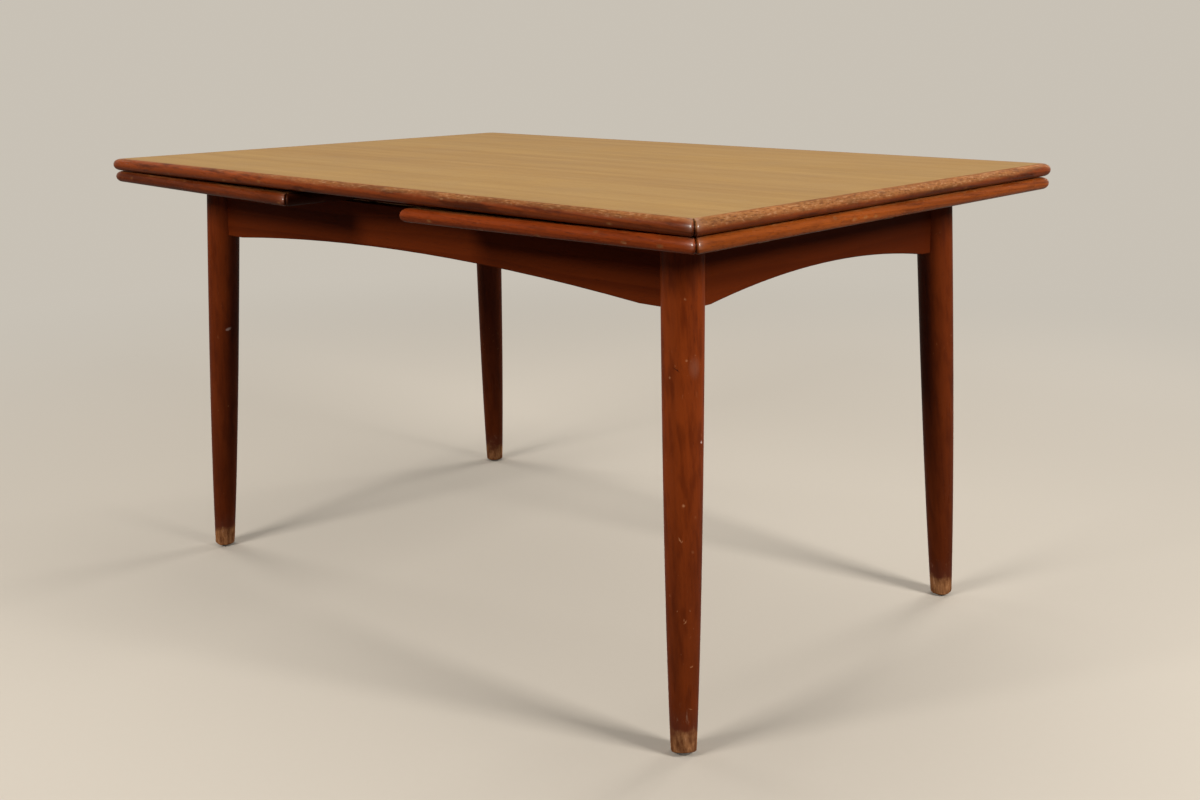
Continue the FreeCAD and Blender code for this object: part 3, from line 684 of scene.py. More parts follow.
def beech_material(name, turn):
    """Bare beech with its short dark flecks, dusty from handling."""
    material, tree, shader = new_material(name)
    place = object_place(tree, turn)
    figure = grouped(tree, FIGURE, {"Place": place, **BEECH_LOG})
    colour = mixed(tree, figure["Figure"], rgba(BEECH_PALE), rgba(BEECH_DARK))
    fleck = noise(tree, scaled(tree, place, (160.0, 900.0, 320.0)), detail=1.0)
    fleck = step_between(tree, fleck, 0.64, 0.70)
    colour = toned(tree, colour, BEECH_FLECK, fleck, 0.55)
    dirt = step_between(tree, noise(tree, place, 14.0, 5.0, 0.65), 0.52, 0.75)
    colour = toned(tree, colour, BEECH_DIRT, dirt, 0.35)
    wire(tree, shader, Base_Color=colour, Roughness=range_of(tree, figure["Fibre"], 0.3, 0.7, 0.6, 0.8),
         Normal=bump(tree, minus(tree, figure["Fibre"], fleck), BEECH_GRAIN))
    return material


def steel_material(name, dim, bright, rust_share):
    """Plated steel, dull with rust in patches."""
    material, tree, shader = new_material(name)
    place = object_place(tree)
    patch = step_between(tree, noise(tree, place, 420.0, 5.0, 0.65), 0.48, 0.66)
    brushing = noise(tree, scaled(tree, place, (2600.0, 2600.0, 500.0)))
    colour = toned(tree, mixed(tree, brushing, rgba(dim), rgba(bright)), RUST, patch, rust_share)
    wire(tree, shader, Base_Color=colour, Roughness=range_of(tree, patch, 0.0, 1.0, 0.34, 0.75),
         Metallic=range_of(tree, patch, 0.0, 1.0, 1.0, 0.35), Normal=bump(tree, brushing, STEEL_GRAIN, 0.4))
    return material


def felt_material():
    """Dark green felt with loose fibres."""
    material, tree, shader = new_material("green_felt")
    place = object_place(tree)
    tangle = noise(tree, place, 1400.0, 5.0, 0.7)
    worn = step_between(tree, noise(tree, place, 60.0, 3.0, 0.6), 0.5, 0.75, 0.0, 0.5)
    colour = toned(tree, mixed(tree, tangle, rgba(FELT_DARK), rgba(FELT_PALE)), FELT_WORN, worn)
    wire(tree, shader, Base_Color=colour, Roughness=range_of(tree, tangle, 0.0, 1.0, 0.85, 1.0),
         Normal=bump(tree, tangle, FELT_NAP, 0.8), Sheen_Weight=0.4, Sheen_Roughness=0.5)
    return material


TOP_VENEER = veneer_material("teak_top_veneer", (0.482, 0.286, 0.088), (0.338, 0.178, 0.045))
LEAF_VENEER = veneer_material("teak_leaf_veneer", (0.46, 0.205, 0.056), (0.28, 0.108, 0.026))
# under: how deep the painted shade on each lipping's lower nose is
TOP_EDGE_TEAK = edge_material("teak_top_lipping", (0.355, 0.072, 0.015), (0.090, 0.0150, 0.0036),
                              soil=0.72, under=0.52, smooth=0.24, dull=0.38)
RIGHT_LEAF_EDGE_TEAK = edge_material("teak_right_leaf_lipping", (0.43, 0.074, 0.012), (0.13, 0.017, 0.003),
                                     soil=0.35, under=0.30, smooth=0.20, dull=0.33)
RIGHT_LEAF_END_TEAK = edge_material("teak_right_leaf_end", (0.42, 0.097, 0.014), (0.13, 0.022, 0.003),
                                    soil=0.35, under=0.10, smooth=0.20, dull=0.33)
# Left leaf lipping: a darker copy of the right leaf's, partly its own deeper tone and partly painted shade of
# the dimmer left end
LEFT_LEAF_SHADED_EDGE_TEAK = edge_material("teak_left_leaf_lipping_shaded", (0.225, 0.042, 0.008), (0.080, 0.0125, 0.0025),
                                    soil=0.45, under=0.30, smooth=0.22, dull=0.35)
# Inner lippings: painted shade, near black where the main top shades them, with no corner coat
INNER_SHADED_EDGE_TEAK = edge_material("teak_inner_lipping_shaded", (0.085, 0.017, 0.0035), (0.035, 0.0065, 0.0015),
                                soil=0.5, under=0.5, smooth=0.40, dull=0.55, shine=0.0)
LEG_TEAK = leg_material()
# Rails and centre board under painted shade; the end rail's is deepest at its far end
SIDE_RAIL_TEAK = rail_material("teak_side_rail", ALONG, RAIL_PITH, far_shade=0.45, near_shade=0.42)
END_RAIL_TEAK = rail_material("teak_end_rail", ACROSS, RAIL_PITH, far_shade=0.78, near_shade=0.34)
STAINED_BEECH = rail_material("stained_beech", ALONG, BEECH_LOG["Pith"], far_shade=0.45, near_shade=0.45)
BEECH_ALONG = beech_material("beech_along", ALONG)
BEECH_ACROSS = beech_material("beech_across", ACROSS)
BEECH_UPRIGHT = beech_material("beech_upright", UPRIGHT)
SCREW_STEEL = steel_material("zinced_steel", (0.42, 0.41, 0.39), (0.60, 0.59, 0.57), rust_share=0.7)
GLIDE_STEEL = steel_material("nickelled_steel", (0.72, 0.71, 0.69), (0.88, 0.87, 0.85), rust_share=0.15)
FELT = felt_material()


# Geometry node trees
def shaped_by(name, tree, values, start=None):
    """Plain mesh that a geometry tree gives for named input values."""
    holder = bpy.data.objects.new(name + "_blank", start or bpy.data.meshes.new(name + "_blank"))
    bpy.context.scene.collection.objects.link(holder)
    modifier = holder.modifiers.new("shape", "NODES")
    modifier.node_group = tree
    sockets = {item.name: item.identifier for item in tree.interface.items_tree if item.in_out == "INPUT"}
    for label, value in values.items():
        modifier[sockets[label]] = value
    graph = bpy.context.evaluated_depsgraph_get()
    mesh = bpy.data.meshes.new_from_object(holder.evaluated_get(graph))
    mesh.name = name
    bpy.data.objects.remove(holder)
    return mesh


def point_value(tree, name, kind):
    """Value read from a geometry's points."""
    return add_node(tree, "GeometryNodeInputNamedAttribute", {"Name": name}, data_type=kind).outputs[0]


def keep_value(tree, geometry, name, kind, value):
    """Geometry with a value kept on its points under a name."""
    inputs = {"Geometry": geometry, "Name": name, "Value": value}
    node = add_node(tree, "GeometryNodeStoreNamedAttribute", inputs, data_type=kind, domain="POINT")
    return node.outputs["Geometry"]


def finished(tree, geometry, material, result):
    """Ends a tree: real geometry with its material."""
    real = add_node(tree, "GeometryNodeRealizeInstances", {"Geometry": geometry}).outputs[0]
    coated = add_node(tree, "GeometryNodeSetMaterial", {"Geometry": real, "Material": material})
    tree.links.new(coated.outputs[0], result["Geometry"])


def turned_leg_tree():
    """Tapered round leg on a splayed axis, cut level at both ends, its foot bevelled by dragging."""
    tree, given, result = new_tree(
        "Turned Leg", "GeometryNodeTree",
        {"Foot": VECTOR, "Head": VECTOR, "Foot Radius": VALUE, "Head Radius": VALUE, "Foot Ease": VALUE,
         "Sides": LEG_SIDES, "Rings": LEG_RINGS, "Dent Depth": VALUE, "Foot Bevel": VALUE, "Shade Share": VALUE,
         "Seed": VALUE, "Material": MATERIAL},
        {"Geometry": GEOMETRY})
    sizes = {"Vertices": given["Sides"], "Side Segments": given["Rings"], "Radius": 1.0, "Depth": 1.0}
    blank = add_node(tree, "GeometryNodeMeshCylinder", sizes, fill_type="TRIANGLE_FAN").outputs
    spot = tree.nodes.new("GeometryNodeInputPosition").outputs[0]
    up_share = maths(tree, "ADD", axis_of(tree, spot, "Z"), 0.5, clamp=True)
    share = maths(tree, "POWER", up_share, LEG_RING_CROWDING)
    centre = add_node(tree, "ShaderNodeMix", {0: share, 4: given["Foot"], 5: given["Head"]},
                      data_type="VECTOR").outputs[1]
    level = axis_of(tree, centre, "Z")
    above = minus(tree, level, axis_of(tree, given["Foot"], "Z"))
    height_share = maths(tree, "DIVIDE", level, axis_of(tree, given["Head"], "Z"))
    swell = add_node(tree, "ShaderNodeFloatCurve", {"Value": height_share})
    for up, wide in list(zip(LEG_HEIGHT_SHARES, LEG_SWELL_SHARES))[1:-1]:
        swell.mapping.curves[0].points.new(up, wide)
    swell.mapping.update()
    radius = mixed_value(tree, swell.outputs[0], given["Foot Radius"], given["Head Radius"])
    short = minus(tree, 1.0, maths(tree, "DIVIDE", above, given["Foot Ease"]), clamp=True)
    fall = minus(tree, 1.0, maths(tree, "SQRT", minus(tree, 1.0, times(tree, short, short))))
    radius = minus(tree, radius, times(tree, fall, given["Foot Ease"]))
    outward = scaled(tree, spot, (1.0, 1.0, 0.0))
    surface = vector_maths(tree, "ADD", centre, stretched(tree, outward, radius))
    seeded = vector_maths(tree, "ADD", surface, stretched(tree, LEG_SEED_WAY, given["Seed"]))
    dent = spots(tree, seeded, LEG_DENT_CELLS, LEG_DENT_SHARE, rim=0.075, core=0.02)
    sunk = stretched(tree, outward, times(tree, dent, given["Dent Depth"], -1.0))
    splay = scaled(tree, vector_maths(tree, "SUBTRACT", given["Foot"], given["Head"]), (1.0, 1.0, 0.0))
    splay = vector_maths(tree, "NORMALIZE", splay)
    facing = vector_maths(tree, "DOT_PRODUCT", outward, splay, output="Value")
    rise = times(tree, range_of(tree, facing, FOOT_BEVEL_START_SHARE, 1.0), given["Foot Bevel"],
                 step_between(tree, above, FOOT_BEVEL_HEIGHT, 0.0))
    sunk = vector_maths(tree, "ADD", sunk, vector_of(tree, Z=rise))
    local = vector_maths(tree, "SUBTRACT", surface, centre)
    local = vector_maths(tree, "ADD", local, stretched(tree, LEG_GRAIN_LEAN, level))
    grain = vector_of(tree, X=plus(tree, level, given["Seed"]), Y=axis_of(tree, local, "X"),
                      Z=axis_of(tree, local, "Y"))
    marked = keep_value(tree, blank["Mesh"], "grain", "FLOAT_VECTOR", grain)
    marked = keep_value(tree, marked, "dent", "FLOAT", dent)
    # share of painted shade, for the material
    marked = keep_value(tree, marked, "tone", "FLOAT", given["Shade Share"])
    shaped = add_node(tree, "GeometryNodeSetPosition",
                      {"Geometry": marked, "Position": surface, "Offset": sunk}).outputs[0]
    smooth = add_node(tree, "GeometryNodeSetShadeSmooth", {"Geometry": shaped, "Selection": blank["Side"]},
                      domain="FACE").outputs[0]
    finished(tree, smooth, given["Material"], result)
    return tree


def rubbed_edge_tree():
    """Wear along a lipping: the oil rubbed off the nose in a ragged band, with shallow dents."""
    tree, given, result = new_tree(
        "Rubbed Edge", "GeometryNodeTree",
        {"Geometry": GEOMETRY, "Reach": VALUE, "Far Drop": VALUE, "Far Start": VALUE, "Far End": VALUE,
         "Depth": VALUE, "Seed": VALUE, "Material": MATERIAL},
        {"Geometry": GEOMETRY})
    height = point_value(tree, "nose", "FLOAT")
    grain = point_value(tree, "grain", "FLOAT_VECTOR")
    along = vector_maths(tree, "ADD", grain, vector_of(tree, X=given["Seed"]))
    long_wave = streaks(tree, along, 6.0, 20.0)
    short_wave = streaks(tree, along, 55.0, 120.0, 3.0, 0.6)
    wave = minus(tree, plus(tree, times(tree, long_wave, 1.1), times(tree, short_wave, 0.7)), 0.9)
    spot = tree.nodes.new("GeometryNodeInputPosition").outputs[0]
    far = step_between(tree, axis_of(tree, spot, "X"), given["Far Start"], given["Far End"])
    reach = minus(tree, plus(tree, height, given["Reach"], wave), times(tree, far, given["Far Drop"]))
    rub = times(tree, range_of(tree, reach, 0.65, 1.35), step_between(tree, height, -0.5, 0.2))
    dent = spots(tree, scaled(tree, along, EDGE_DENT_CELLS), 1.0, EDGE_DENT_SHARE, rim=0.24, core=0.05)
    dent = times(tree, dent, step_between(tree, height, 0.98, 0.85))
    uneven = times(tree, rub, range_of(tree, short_wave, 0.3, 0.7, 0.2, 1.0),
                   step_between(tree, height, 1.0, 0.85))
    depth = times(tree, plus(tree, uneven, times(tree, dent, 1.4)), given["Depth"], -1.0)
    sunk = stretched(tree, tree.nodes.new("GeometryNodeInputNormal").outputs[0], depth)
    rubbed = maths(tree, "MAXIMUM", rub, times(tree, dent, 0.8))
    marked = keep_value(tree, given["Geometry"], "rub", "FLOAT", rubbed)
    shaped = add_node(tree, "GeometryNodeSetPosition", {"Geometry": marked, "Offset": sunk}).outputs[0]
    finished(tree, shaped, given["Material"], result)
    return tree


def slotted_screws_tree():
    """Slotted countersunk screw at each point, along the point's own drive direction."""
    tree, given, result = new_tree(
        "Slotted Screws", "GeometryNodeTree",
        {"Geometry": GEOMETRY, "Head": VALUE, "Head Height": VALUE, "Shank": VALUE, "Length": VALUE,
         "Tip": VALUE, "Slot Width": VALUE, "Slot Depth": VALUE, "Sides": SCREW_SIDES, "Seed": 0,
         "Material": MATERIAL},
        {"Geometry": GEOMETRY})
    head_radius = maths(tree, "DIVIDE", given["Head"], 2.0)
    shank_radius = maths(tree, "DIVIDE", given["Shank"], 2.0)
    tip_start = minus(tree, given["Length"], given["Tip"])

    def stage(low, high, start, depth):
        """Round stage of the screw between two radii, from a start below the head's face."""
        sizes = {"Vertices": given["Sides"], "Radius Top": high, "Radius Bottom": low, "Depth": depth}
        cone = add_node(tree, "GeometryNodeMeshCone", sizes).outputs[0]
        place = vector_of(tree, Z=times(tree, plus(tree, start, depth), -1.0))
        return add_node(tree, "GeometryNodeTransform", {"Geometry": cone, "Translation": place}).outputs[0]

    head = stage(shank_radius, head_radius, 0.0, given["Head Height"])
    slot_size = vector_of(tree, X=times(tree, given["Head"], 2.0), Y=given["Slot Width"],
                          Z=times(tree, given["Slot Depth"], 2.0))
    slot = add_node(tree, "GeometryNodeMeshCube", {"Size": slot_size}).outputs[0]
    cut = add_node(tree, "GeometryNodeMeshBoolean", {0: head, 1: slot}, operation="DIFFERENCE").outputs[0]
    shank_run = minus(tree, tip_start, given["Head Height"])
    shank = stage(shank_radius, shank_radius, given["Head Height"], shank_run)
    tip = stage(0.0, shank_radius, tip_start, given["Tip"])
    screw = tree.nodes.new("GeometryNodeJoinGeometry")
    for piece in (cut, shank, tip):
        tree.links.new(piece, screw.inputs[0])
    back = stretched(tree, point_value(tree, "drive", "FLOAT_VECTOR"), -1.0)
    stand = add_node(tree, "FunctionNodeAlignRotationToVector", {"Vector": back}, axis="Z").outputs[0]
    twist = add_node(tree, "FunctionNodeRandomValue", {"Min": 0.0, "Max": math.pi, "Seed": given["Seed"]},
                     data_type="FLOAT").outputs[1]
    placed = add_node(tree, "GeometryNodeInstanceOnPoints", {"Points": given["Geometry"], "Rotation": stand,
                                                             "Instance": screw.outputs[0]}).outputs[0]
    driven = add_node(tree, "GeometryNodeRotateInstances",
                      {"Instances": placed, "Rotation": vector_of(tree, Z=twist)}).outputs[0]
    finished(tree, driven, given["Material"], result)
    return tree


# Shapes read from the frame
def corner_points(nodes):
    """Every vertex of some CAD nodes at rest, one row each."""
    rows = []
    for name in nodes:
        mesh = frame["nodes"][name].data
        places = np.zeros(len(mesh.vertices) * 3, np.float32)
        mesh.vertices.foreach_get("co", places)
        rows.append(places.reshape(-1, 3).astype(float))
    return np.concatenate(rows)


def joint_axis(name):
    """Direction of a joint."""
    return Vector(next(joint["axis"] for joint in frame["joints"] if joint["name"] == name)).normalized()


def board_axes(board):
    """Matrix whose columns are a board's own axes: along, across and up; a leaf's follow its slide."""
    if board == "top":
        return Matrix.Identity(3)
    along = joint_axis(board + "_leaf_draw")
    if along.x < 0:
        along = -along
    across = Vector((0.0, 1.0, 0.0))
    return Matrix((along, across, along.cross(across))).transposed()


def own_box(nodes, axes):
    """Lowest and highest corner of some nodes along a board's own axes."""
    places = corner_points(nodes) @ np.array(axes)
    return places.min(0), places.max(0)


# Finished pieces
def keep_on_points(mesh, name, kind, values):
    """Keeps values on a mesh's points under a name."""
    field = "vector" if kind == "FLOAT_VECTOR" else "value"
    kept = mesh.attributes.new(name, kind, "POINT")
    kept.data.foreach_set(field, np.asarray(values, np.float32).ravel())


def clad(mesh, material):
    """Gives a mesh one material."""
    mesh.materials.clear()
    mesh.materials.append(material)


def dressed(name, mesh, body, nodes):
    """Finished piece that stands for CAD nodes and moves with a body."""
    piece = bpy.data.objects.new(name, mesh)
    bpy.context.scene.collection.objects.link(piece)
    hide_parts(*nodes)
    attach(piece, body)


# Lippings
def lipping_section(depth, thick):
    """Section of a lipping from its lower glued edge round the nose to its upper: places, normals, eases."""
    radius = thick / 2
    nose = radius - depth
    angles = np.linspace(-math.pi / 2, math.pi / 2, NOSE_STEPS + 1)
    normals = [(-math.cos(angle), math.sin(angle)) for angle in angles]
    places = [(nose + radius * y, radius * z - radius) for y, z in normals]
    shares = np.linspace(1.0, 0.0, FLAT_STEPS + 1)[1:]
    upper = [(nose * share, 0.0) for share in shares]
    lower = [(y, -thick) for y, z in reversed(upper)]
    flat_eases = [GLUED_EASE_SHARE + (1 - GLUED_EASE_SHARE) * share for share in shares]
    eases = flat_eases[::-1] + [1.0] * len(places) + flat_eases
    normals = [(0.0, -1.0)] * len(lower) + normals + [(0.0, 1.0)] * len(upper)
    return np.array(lower + places + upper), np.array(normals), np.array(eases) * MITRE_EASE


def turned_between(first, second, share):
    """Directions part of the way round from one set of directions to another."""
    angle = np.arccos(np.clip((first * second).sum(1), -1, 1))[:, None]
    return (np.sin((1 - share) * angle) * first + np.sin(share * angle) * second) / np.sin(angle)


def lipping_blank(name, length, depth, thick, seed, end_shine):
    """Mitred strip along X, its glued face at Y = 0 and upper face at Z = 0, eased at both mitres."""
    places, normals, eases = lipping_section(depth, thick)
    inner = places - eases[:, None] * normals
    reach = length / 2 - depth - inner[:, 0] - eases * math.sqrt(2)
    facing = np.column_stack([np.zeros(len(normals)), normals])
    ends = []
    for end in (-1, 1):
        mitre = np.tile(np.array([end, 1.0, 0.0]) / math.sqrt(2), (len(facing), 1))
        centre = np.column_stack([end * reach, inner])
        rings = [centre + eases[:, None] * turned_between(mitre, facing, step / EASE_STEPS)
                 for step in range(EASE_STEPS + 1)]
        ends.append(rings if end < 0 else rings[::-1])
    first, last = ends[0][-1], ends[1][0]
    count = round(length / LIPPING_STEP)
    middle = [first + (last - first) * step / count for step in range(1, count)]
    rows = ends[0] + middle + ends[1]
    points = np.concatenate(rows)
    wide = len(places)
    faces = []
    smooth = []
    for base in range(0, len(points) - wide, wide):
        for column in range(wide):
            beside = (column + 1) % wide
            faces.append((base + column, base + wide + column, base + wide + beside, base + beside))
            smooth.append(column < wide - 1)
    faces += [tuple(range(wide)), tuple(range(len(points) - 1, len(points) - 1 - wide, -1))]
    smooth += [False, False]
    mesh = bpy.data.meshes.new(name)
    mesh.from_pydata(points.tolist(), [], faces)
    mesh.polygons.foreach_set("use_smooth", smooth)
    leaning = points + np.array([seed, 0.0, 0.0]) + points[:, :1] * np.array(LIPPING_GRAIN_LEAN)
    short = np.clip(np.tile(reach, len(rows)) - abs(points[:, 0]), 0, None)
    shine = np.where(points[:, 0] < 0, *end_shine) * np.exp(-short / POLISH_REACH)
    turning = np.linspace(1.0, 0.0, EASE_STEPS + 1)
    row_turns = np.concatenate([turning, np.zeros(len(middle)), turning[::-1]])
    keep_on_points(mesh, "grain", "FLOAT_VECTOR", leaning)
    # mask for the corner coat and for its painted highlight
    keep_on_points(mesh, "polish_and_glint", "FLOAT", shine)
    keep_on_points(mesh, "nose", "FLOAT", np.tile(normals[:, 1], len(rows)))
    keep_on_points(mesh, "crease", "FLOAT", np.repeat(row_turns, wide))
    return mesh


def edge_lippings(tree):
    """The twelve lippings of the main top and both leaves, each with its own wear."""
    teak = {"top": TOP_EDGE_TEAK, "right": RIGHT_LEAF_EDGE_TEAK, "left": LEFT_LEAF_SHADED_EDGE_TEAK}
    own_teak = {"right_leaf_lipping_outer": RIGHT_LEAF_END_TEAK, "right_leaf_lipping_inner": INNER_SHADED_EDGE_TEAK,
                "left_leaf_lipping_inner": INNER_SHADED_EDGE_TEAK}
    for order, (board, sides) in enumerate(LIPPING_WEAR.items()):
        body = "main_top" if board == "top" else board + "_leaf"
        stem = "top_" if board == "top" else board + "_leaf_"
        axes = board_axes(board)
        low, high = own_box([stem + "panel"] + [stem + "lipping_" + side for side in sides], axes)
        panel_low, panel_high = own_box([stem + "panel"], axes)
        depth = panel_low[1] - low[1]
        thick = panel_high[2] - panel_low[2]
        middle = (low + high) / 2
        start = math.pi if board == "left" else 0.0
        for quarter, (side, reach) in enumerate(sides.items()):
            name = stem + "lipping_" + side
            run = quarter % 2
            length = high[run] - low[run]
            out = (panel_high - panel_low)[1 - run] / 2
            drop, fade_start, fade_end = WEAR_FADES.get(name, NO_FADE)
            shine = END_SHINE.get(name, FULL_SHINE)
            seed = GRAIN_BOARD_STEP * order + GRAIN_SIDE_STEP * quarter
            blank = lipping_blank(name + "_strip", length, depth, thick, seed, shine)
            mesh = shaped_by(name + "_strip", tree, {
                "Reach": reach, "Depth": RUB_DEPTH, "Seed": WEAR_SIDE_STEP * quarter + order,
                "Far Drop": drop, "Far Start": fade_start * length, "Far End": fade_end * length,
                "Material": own_teak.get(name, teak[board])}, blank)
            turn = Matrix.Rotation(start + quarter * math.pi / 2, 4, "Z")
            seat = Matrix.Translation((middle[0], middle[1], high[2]))
            mesh.transform(axes.to_4x4() @ (seat @ turn @ Matrix.Translation((0.0, -out, 0.0))))
            dressed(name + "_strip", mesh, body, [name])


# Legs
def rim_centre(node, level):
    """Centre of the level rim of a leg's end."""
    places = corner_points([node])
    edge = places[abs(places[:, 2] - level) < LEG_RIM_TOLERANCE]
    middle = (edge.min(0) + edge.max(0)) / 2
    return Vector((middle[0], middle[1], level))


def turned_legs(tree):
    """The four legs, each with its own grain and knocks."""
    for order, corner in enumerate(LEG_CORNERS):
        node = "leg_" + corner
        low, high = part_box(node)
        mesh = shaped_by("turned_" + node, tree, {
            "Foot": rim_centre(node, low.z), "Head": rim_centre(node, high.z),
            "Foot Radius": LEG_FOOT_RADIUS, "Head Radius": LEG_HEAD_RADIUS, "Foot Ease": LEG_FOOT_EASE,
            "Sides": LEG_SIDES, "Rings": LEG_RINGS, "Dent Depth": LEG_DENT_DEPTH, "Foot Bevel": FOOT_BEVEL,
            "Shade Share": LEG_SHADE_SHARES[corner], "Seed": LEG_SEED + LEG_SEED_STEP * order, "Material": LEG_TEAK})
        dressed("turned_" + node, mesh, "frame", [node])


# Screws
def loose_solids(node):
    """Vertices of each separate solid of a CAD node."""
    places = corner_points([node])
    keys, owner = np.unique(np.round(places / SAME_POINT).astype(np.int64), axis=0, return_inverse=True)
    owner = owner.ravel()
    mesh = frame["nodes"][node].data
    mesh.calc_loop_triangles()
    triangles = np.zeros(len(mesh.loop_triangles) * 3, np.int32)
    mesh.loop_triangles.foreach_get("vertices", triangles)
    triangles = owner[triangles].reshape(-1, 3)
    label = np.arange(len(keys))
    while True:
        lowest = label[triangles].min(1)
        fresh = label.copy()
        np.minimum.at(fresh, triangles.ravel(), np.repeat(lowest, 3))
        fresh = fresh[fresh]
        if (fresh == label).all():
            break
        label = fresh
    return [places[label[owner] == each] for each in np.unique(label)]


def screw_seat(places, axis):
    """Centre of a screw's head and the way it is driven, along a known axis."""
    heights = places @ axis
    flat = places - np.outer(heights, axis)
    upper = heights >= (heights.min() + heights.max()) / 2
    low_spread, high_spread = (np.ptp(flat[half], axis=0).max() for half in (~upper, upper))
    drive = axis if low_spread > high_spread else -axis
    centre = (flat.min(0) + flat.max(0)) / 2
    return centre + drive * (places @ drive).min(), drive


def slotted_screws(tree):
    """All wood screws, one piece for each body."""
    groups = {"frame": ["corner_block_screws", "centre_board_screws"],
              "right_leaf": ["right_leaf_bearer_screws"], "left_leaf": ["left_leaf_bearer_screws"]}
    for seed, (body, nodes) in enumerate(groups.items()):
        seats = []
        for node in nodes:
            for places in loose_solids(node):
                if body == "frame":
                    axis = np.eye(3)[np.argmax(np.ptp(places, axis=0))]
                else:
                    axis = np.array(board_axes(body.split("_")[0]))[:, 2]
                seats.append(screw_seat(places, axis))
        points = bpy.data.meshes.new(body + "_screw_seats")
        points.from_pydata([list(place) for place, drive in seats], [], [])
        keep_on_points(points, "drive", "FLOAT_VECTOR", [drive for place, drive in seats])
        mesh = shaped_by(body + "_slotted_screws", tree, {
            "Head": SCREW_HEAD, "Head Height": SCREW_HEAD_HEIGHT, "Shank": SCREW_SHANK,
            "Length": SCREW_LENGTH, "Tip": SCREW_TIP, "Slot Width": SLOT_WIDTH, "Slot Depth": SLOT_DEPTH,
            "Sides": SCREW_SIDES, "Seed": seed, "Material": SCREW_STEEL}, points)
        dressed(body + "_slotted_screws", mesh, body, nodes)


# Inner timbers with eased arrises
def eased_timber(node, material):
    """Merged copy of a CAD node with its long arrises rounded over."""
    mesh = frame["nodes"][node].data.copy()
    mesh.name = node + "_eased"
    form = bmesh.new()
    form.from_mesh(mesh)
    bmesh.ops.remove_doubles(form, verts=form.verts, dist=WELD_DISTANCE)
    bmesh.ops.dissolve_limit(form, angle_limit=FLAT_ANGLE, verts=form.verts, edges=form.edges)
    arrises = [edge for edge in form.edges if edge.is_convex and edge.calc_length() > ARRIS_LEAST
               and edge.calc_face_angle(0.0) > ARRIS_ANGLE]
    bmesh.ops.bevel(form, geom=arrises, offset=ARRIS_EASE, segments=ARRIS_STEPS, profile=0.5,
                    affect="EDGES", clamp_overlap=True)
    bmesh.ops.triangulate(form, faces=form.faces)
    form.to_mesh(mesh)
    form.free()
    clad(mesh, material)
    return mesh


def inner_timbers():
    """Bearers, cross rails, corner blocks and centre board, with rounded arrises."""
    timbers = {"cross_rail_left": BEECH_ACROSS, "cross_rail_right": BEECH_ACROSS,
               "centre_board": STAINED_BEECH}
    for corner in ("front_left", "front_right", "back_right", "back_left"):
        timbers["corner_block_" + corner] = BEECH_ALONG
    for node, material in timbers.items():
        dressed(node + "_eased", eased_timber(node, material), "frame", [node])
    for side in ("right", "left"):
        for place in ("front", "back"):
            node = side + "_leaf_bearer_" + place
            dressed(node + "_eased", eased_timber(node, BEECH_ALONG), side + "_leaf", [node])


# Felt
def felt_pads():
    """Felt pads under the main top, with round corners and a ragged, fluffy face."""
    points = []
    faces = []
    chance = np.random.default_rng(FELT_SEED)
    across, along = np.meshgrid(np.linspace(-1, 1, FELT_ROWS), np.linspace(-1, 1, FELT_COLUMNS),
                                indexing="ij")
    rim = np.maximum(abs(along), abs(across)) > FELT_RIM_SHARE
    count = FELT_ROWS * FELT_COLUMNS
    border = [*range(FELT_COLUMNS), *range(2 * FELT_COLUMNS - 1, count, FELT_COLUMNS),
              *range(count - 2, count - FELT_COLUMNS - 1, -1),
              *range(count - 2 * FELT_COLUMNS, 0, -FELT_COLUMNS)]
    for places in loose_solids("top_felt_pads"):
        low, high = places.min(0), places.max(0)
        middle, half = (low + high) / 2, (high - low) / 2
        inner = half[:2] - FELT_CORNER
        flat = np.stack([along * half[0], across * half[1]], -1)
        past = np.clip(abs(flat) - inner, 0, None)
        shrink = past.max(-1) / np.maximum(np.hypot(past[..., 0], past[..., 1]), LEAST_LENGTH)
        shrink = np.where(past.min(-1) > 0, shrink, 1)[..., None]
        round_place = np.sign(flat) * (np.minimum(abs(flat), inner) + past * shrink)
        ragged = round_place * (1 - FELT_RAGGED_SHARE * chance.random(along.shape) * rim)[..., None]
        fluff = low[2] + FELT_FLUFF * chance.random(along.shape) + FELT_FLUFF * rim
        start = len(points)
        for height in (np.full(along.shape, high[2]), fluff):
            points += np.dstack([ragged + middle[:2], height]).reshape(-1, 3).tolist()
        for row in range(FELT_ROWS - 1):
            for column in range(FELT_COLUMNS - 1):
                upper = start + row * FELT_COLUMNS + column
                under = upper + count
                faces.append((upper, upper + 1, upper + FELT_COLUMNS + 1, upper + FELT_COLUMNS))
                faces.append((under, under + FELT_COLUMNS, under + FELT_COLUMNS + 1, under + 1))
        for here, there in zip(border, border[1:] + border[:1]):
            faces.append((start + here, start + count + here, start + count + there, start + there))
    mesh = bpy.data.meshes.new("felt_pads")
    mesh.from_pydata(points, [], faces)
    form = bmesh.new()
    form.from_mesh(mesh)
    bmesh.ops.recalc_face_normals(form, faces=form.faces)
    form.to_mesh(mesh)
    form.free()
    clad(mesh, FELT)
    dressed("felt_pads", mesh, "main_top", ["top_felt_pads"])


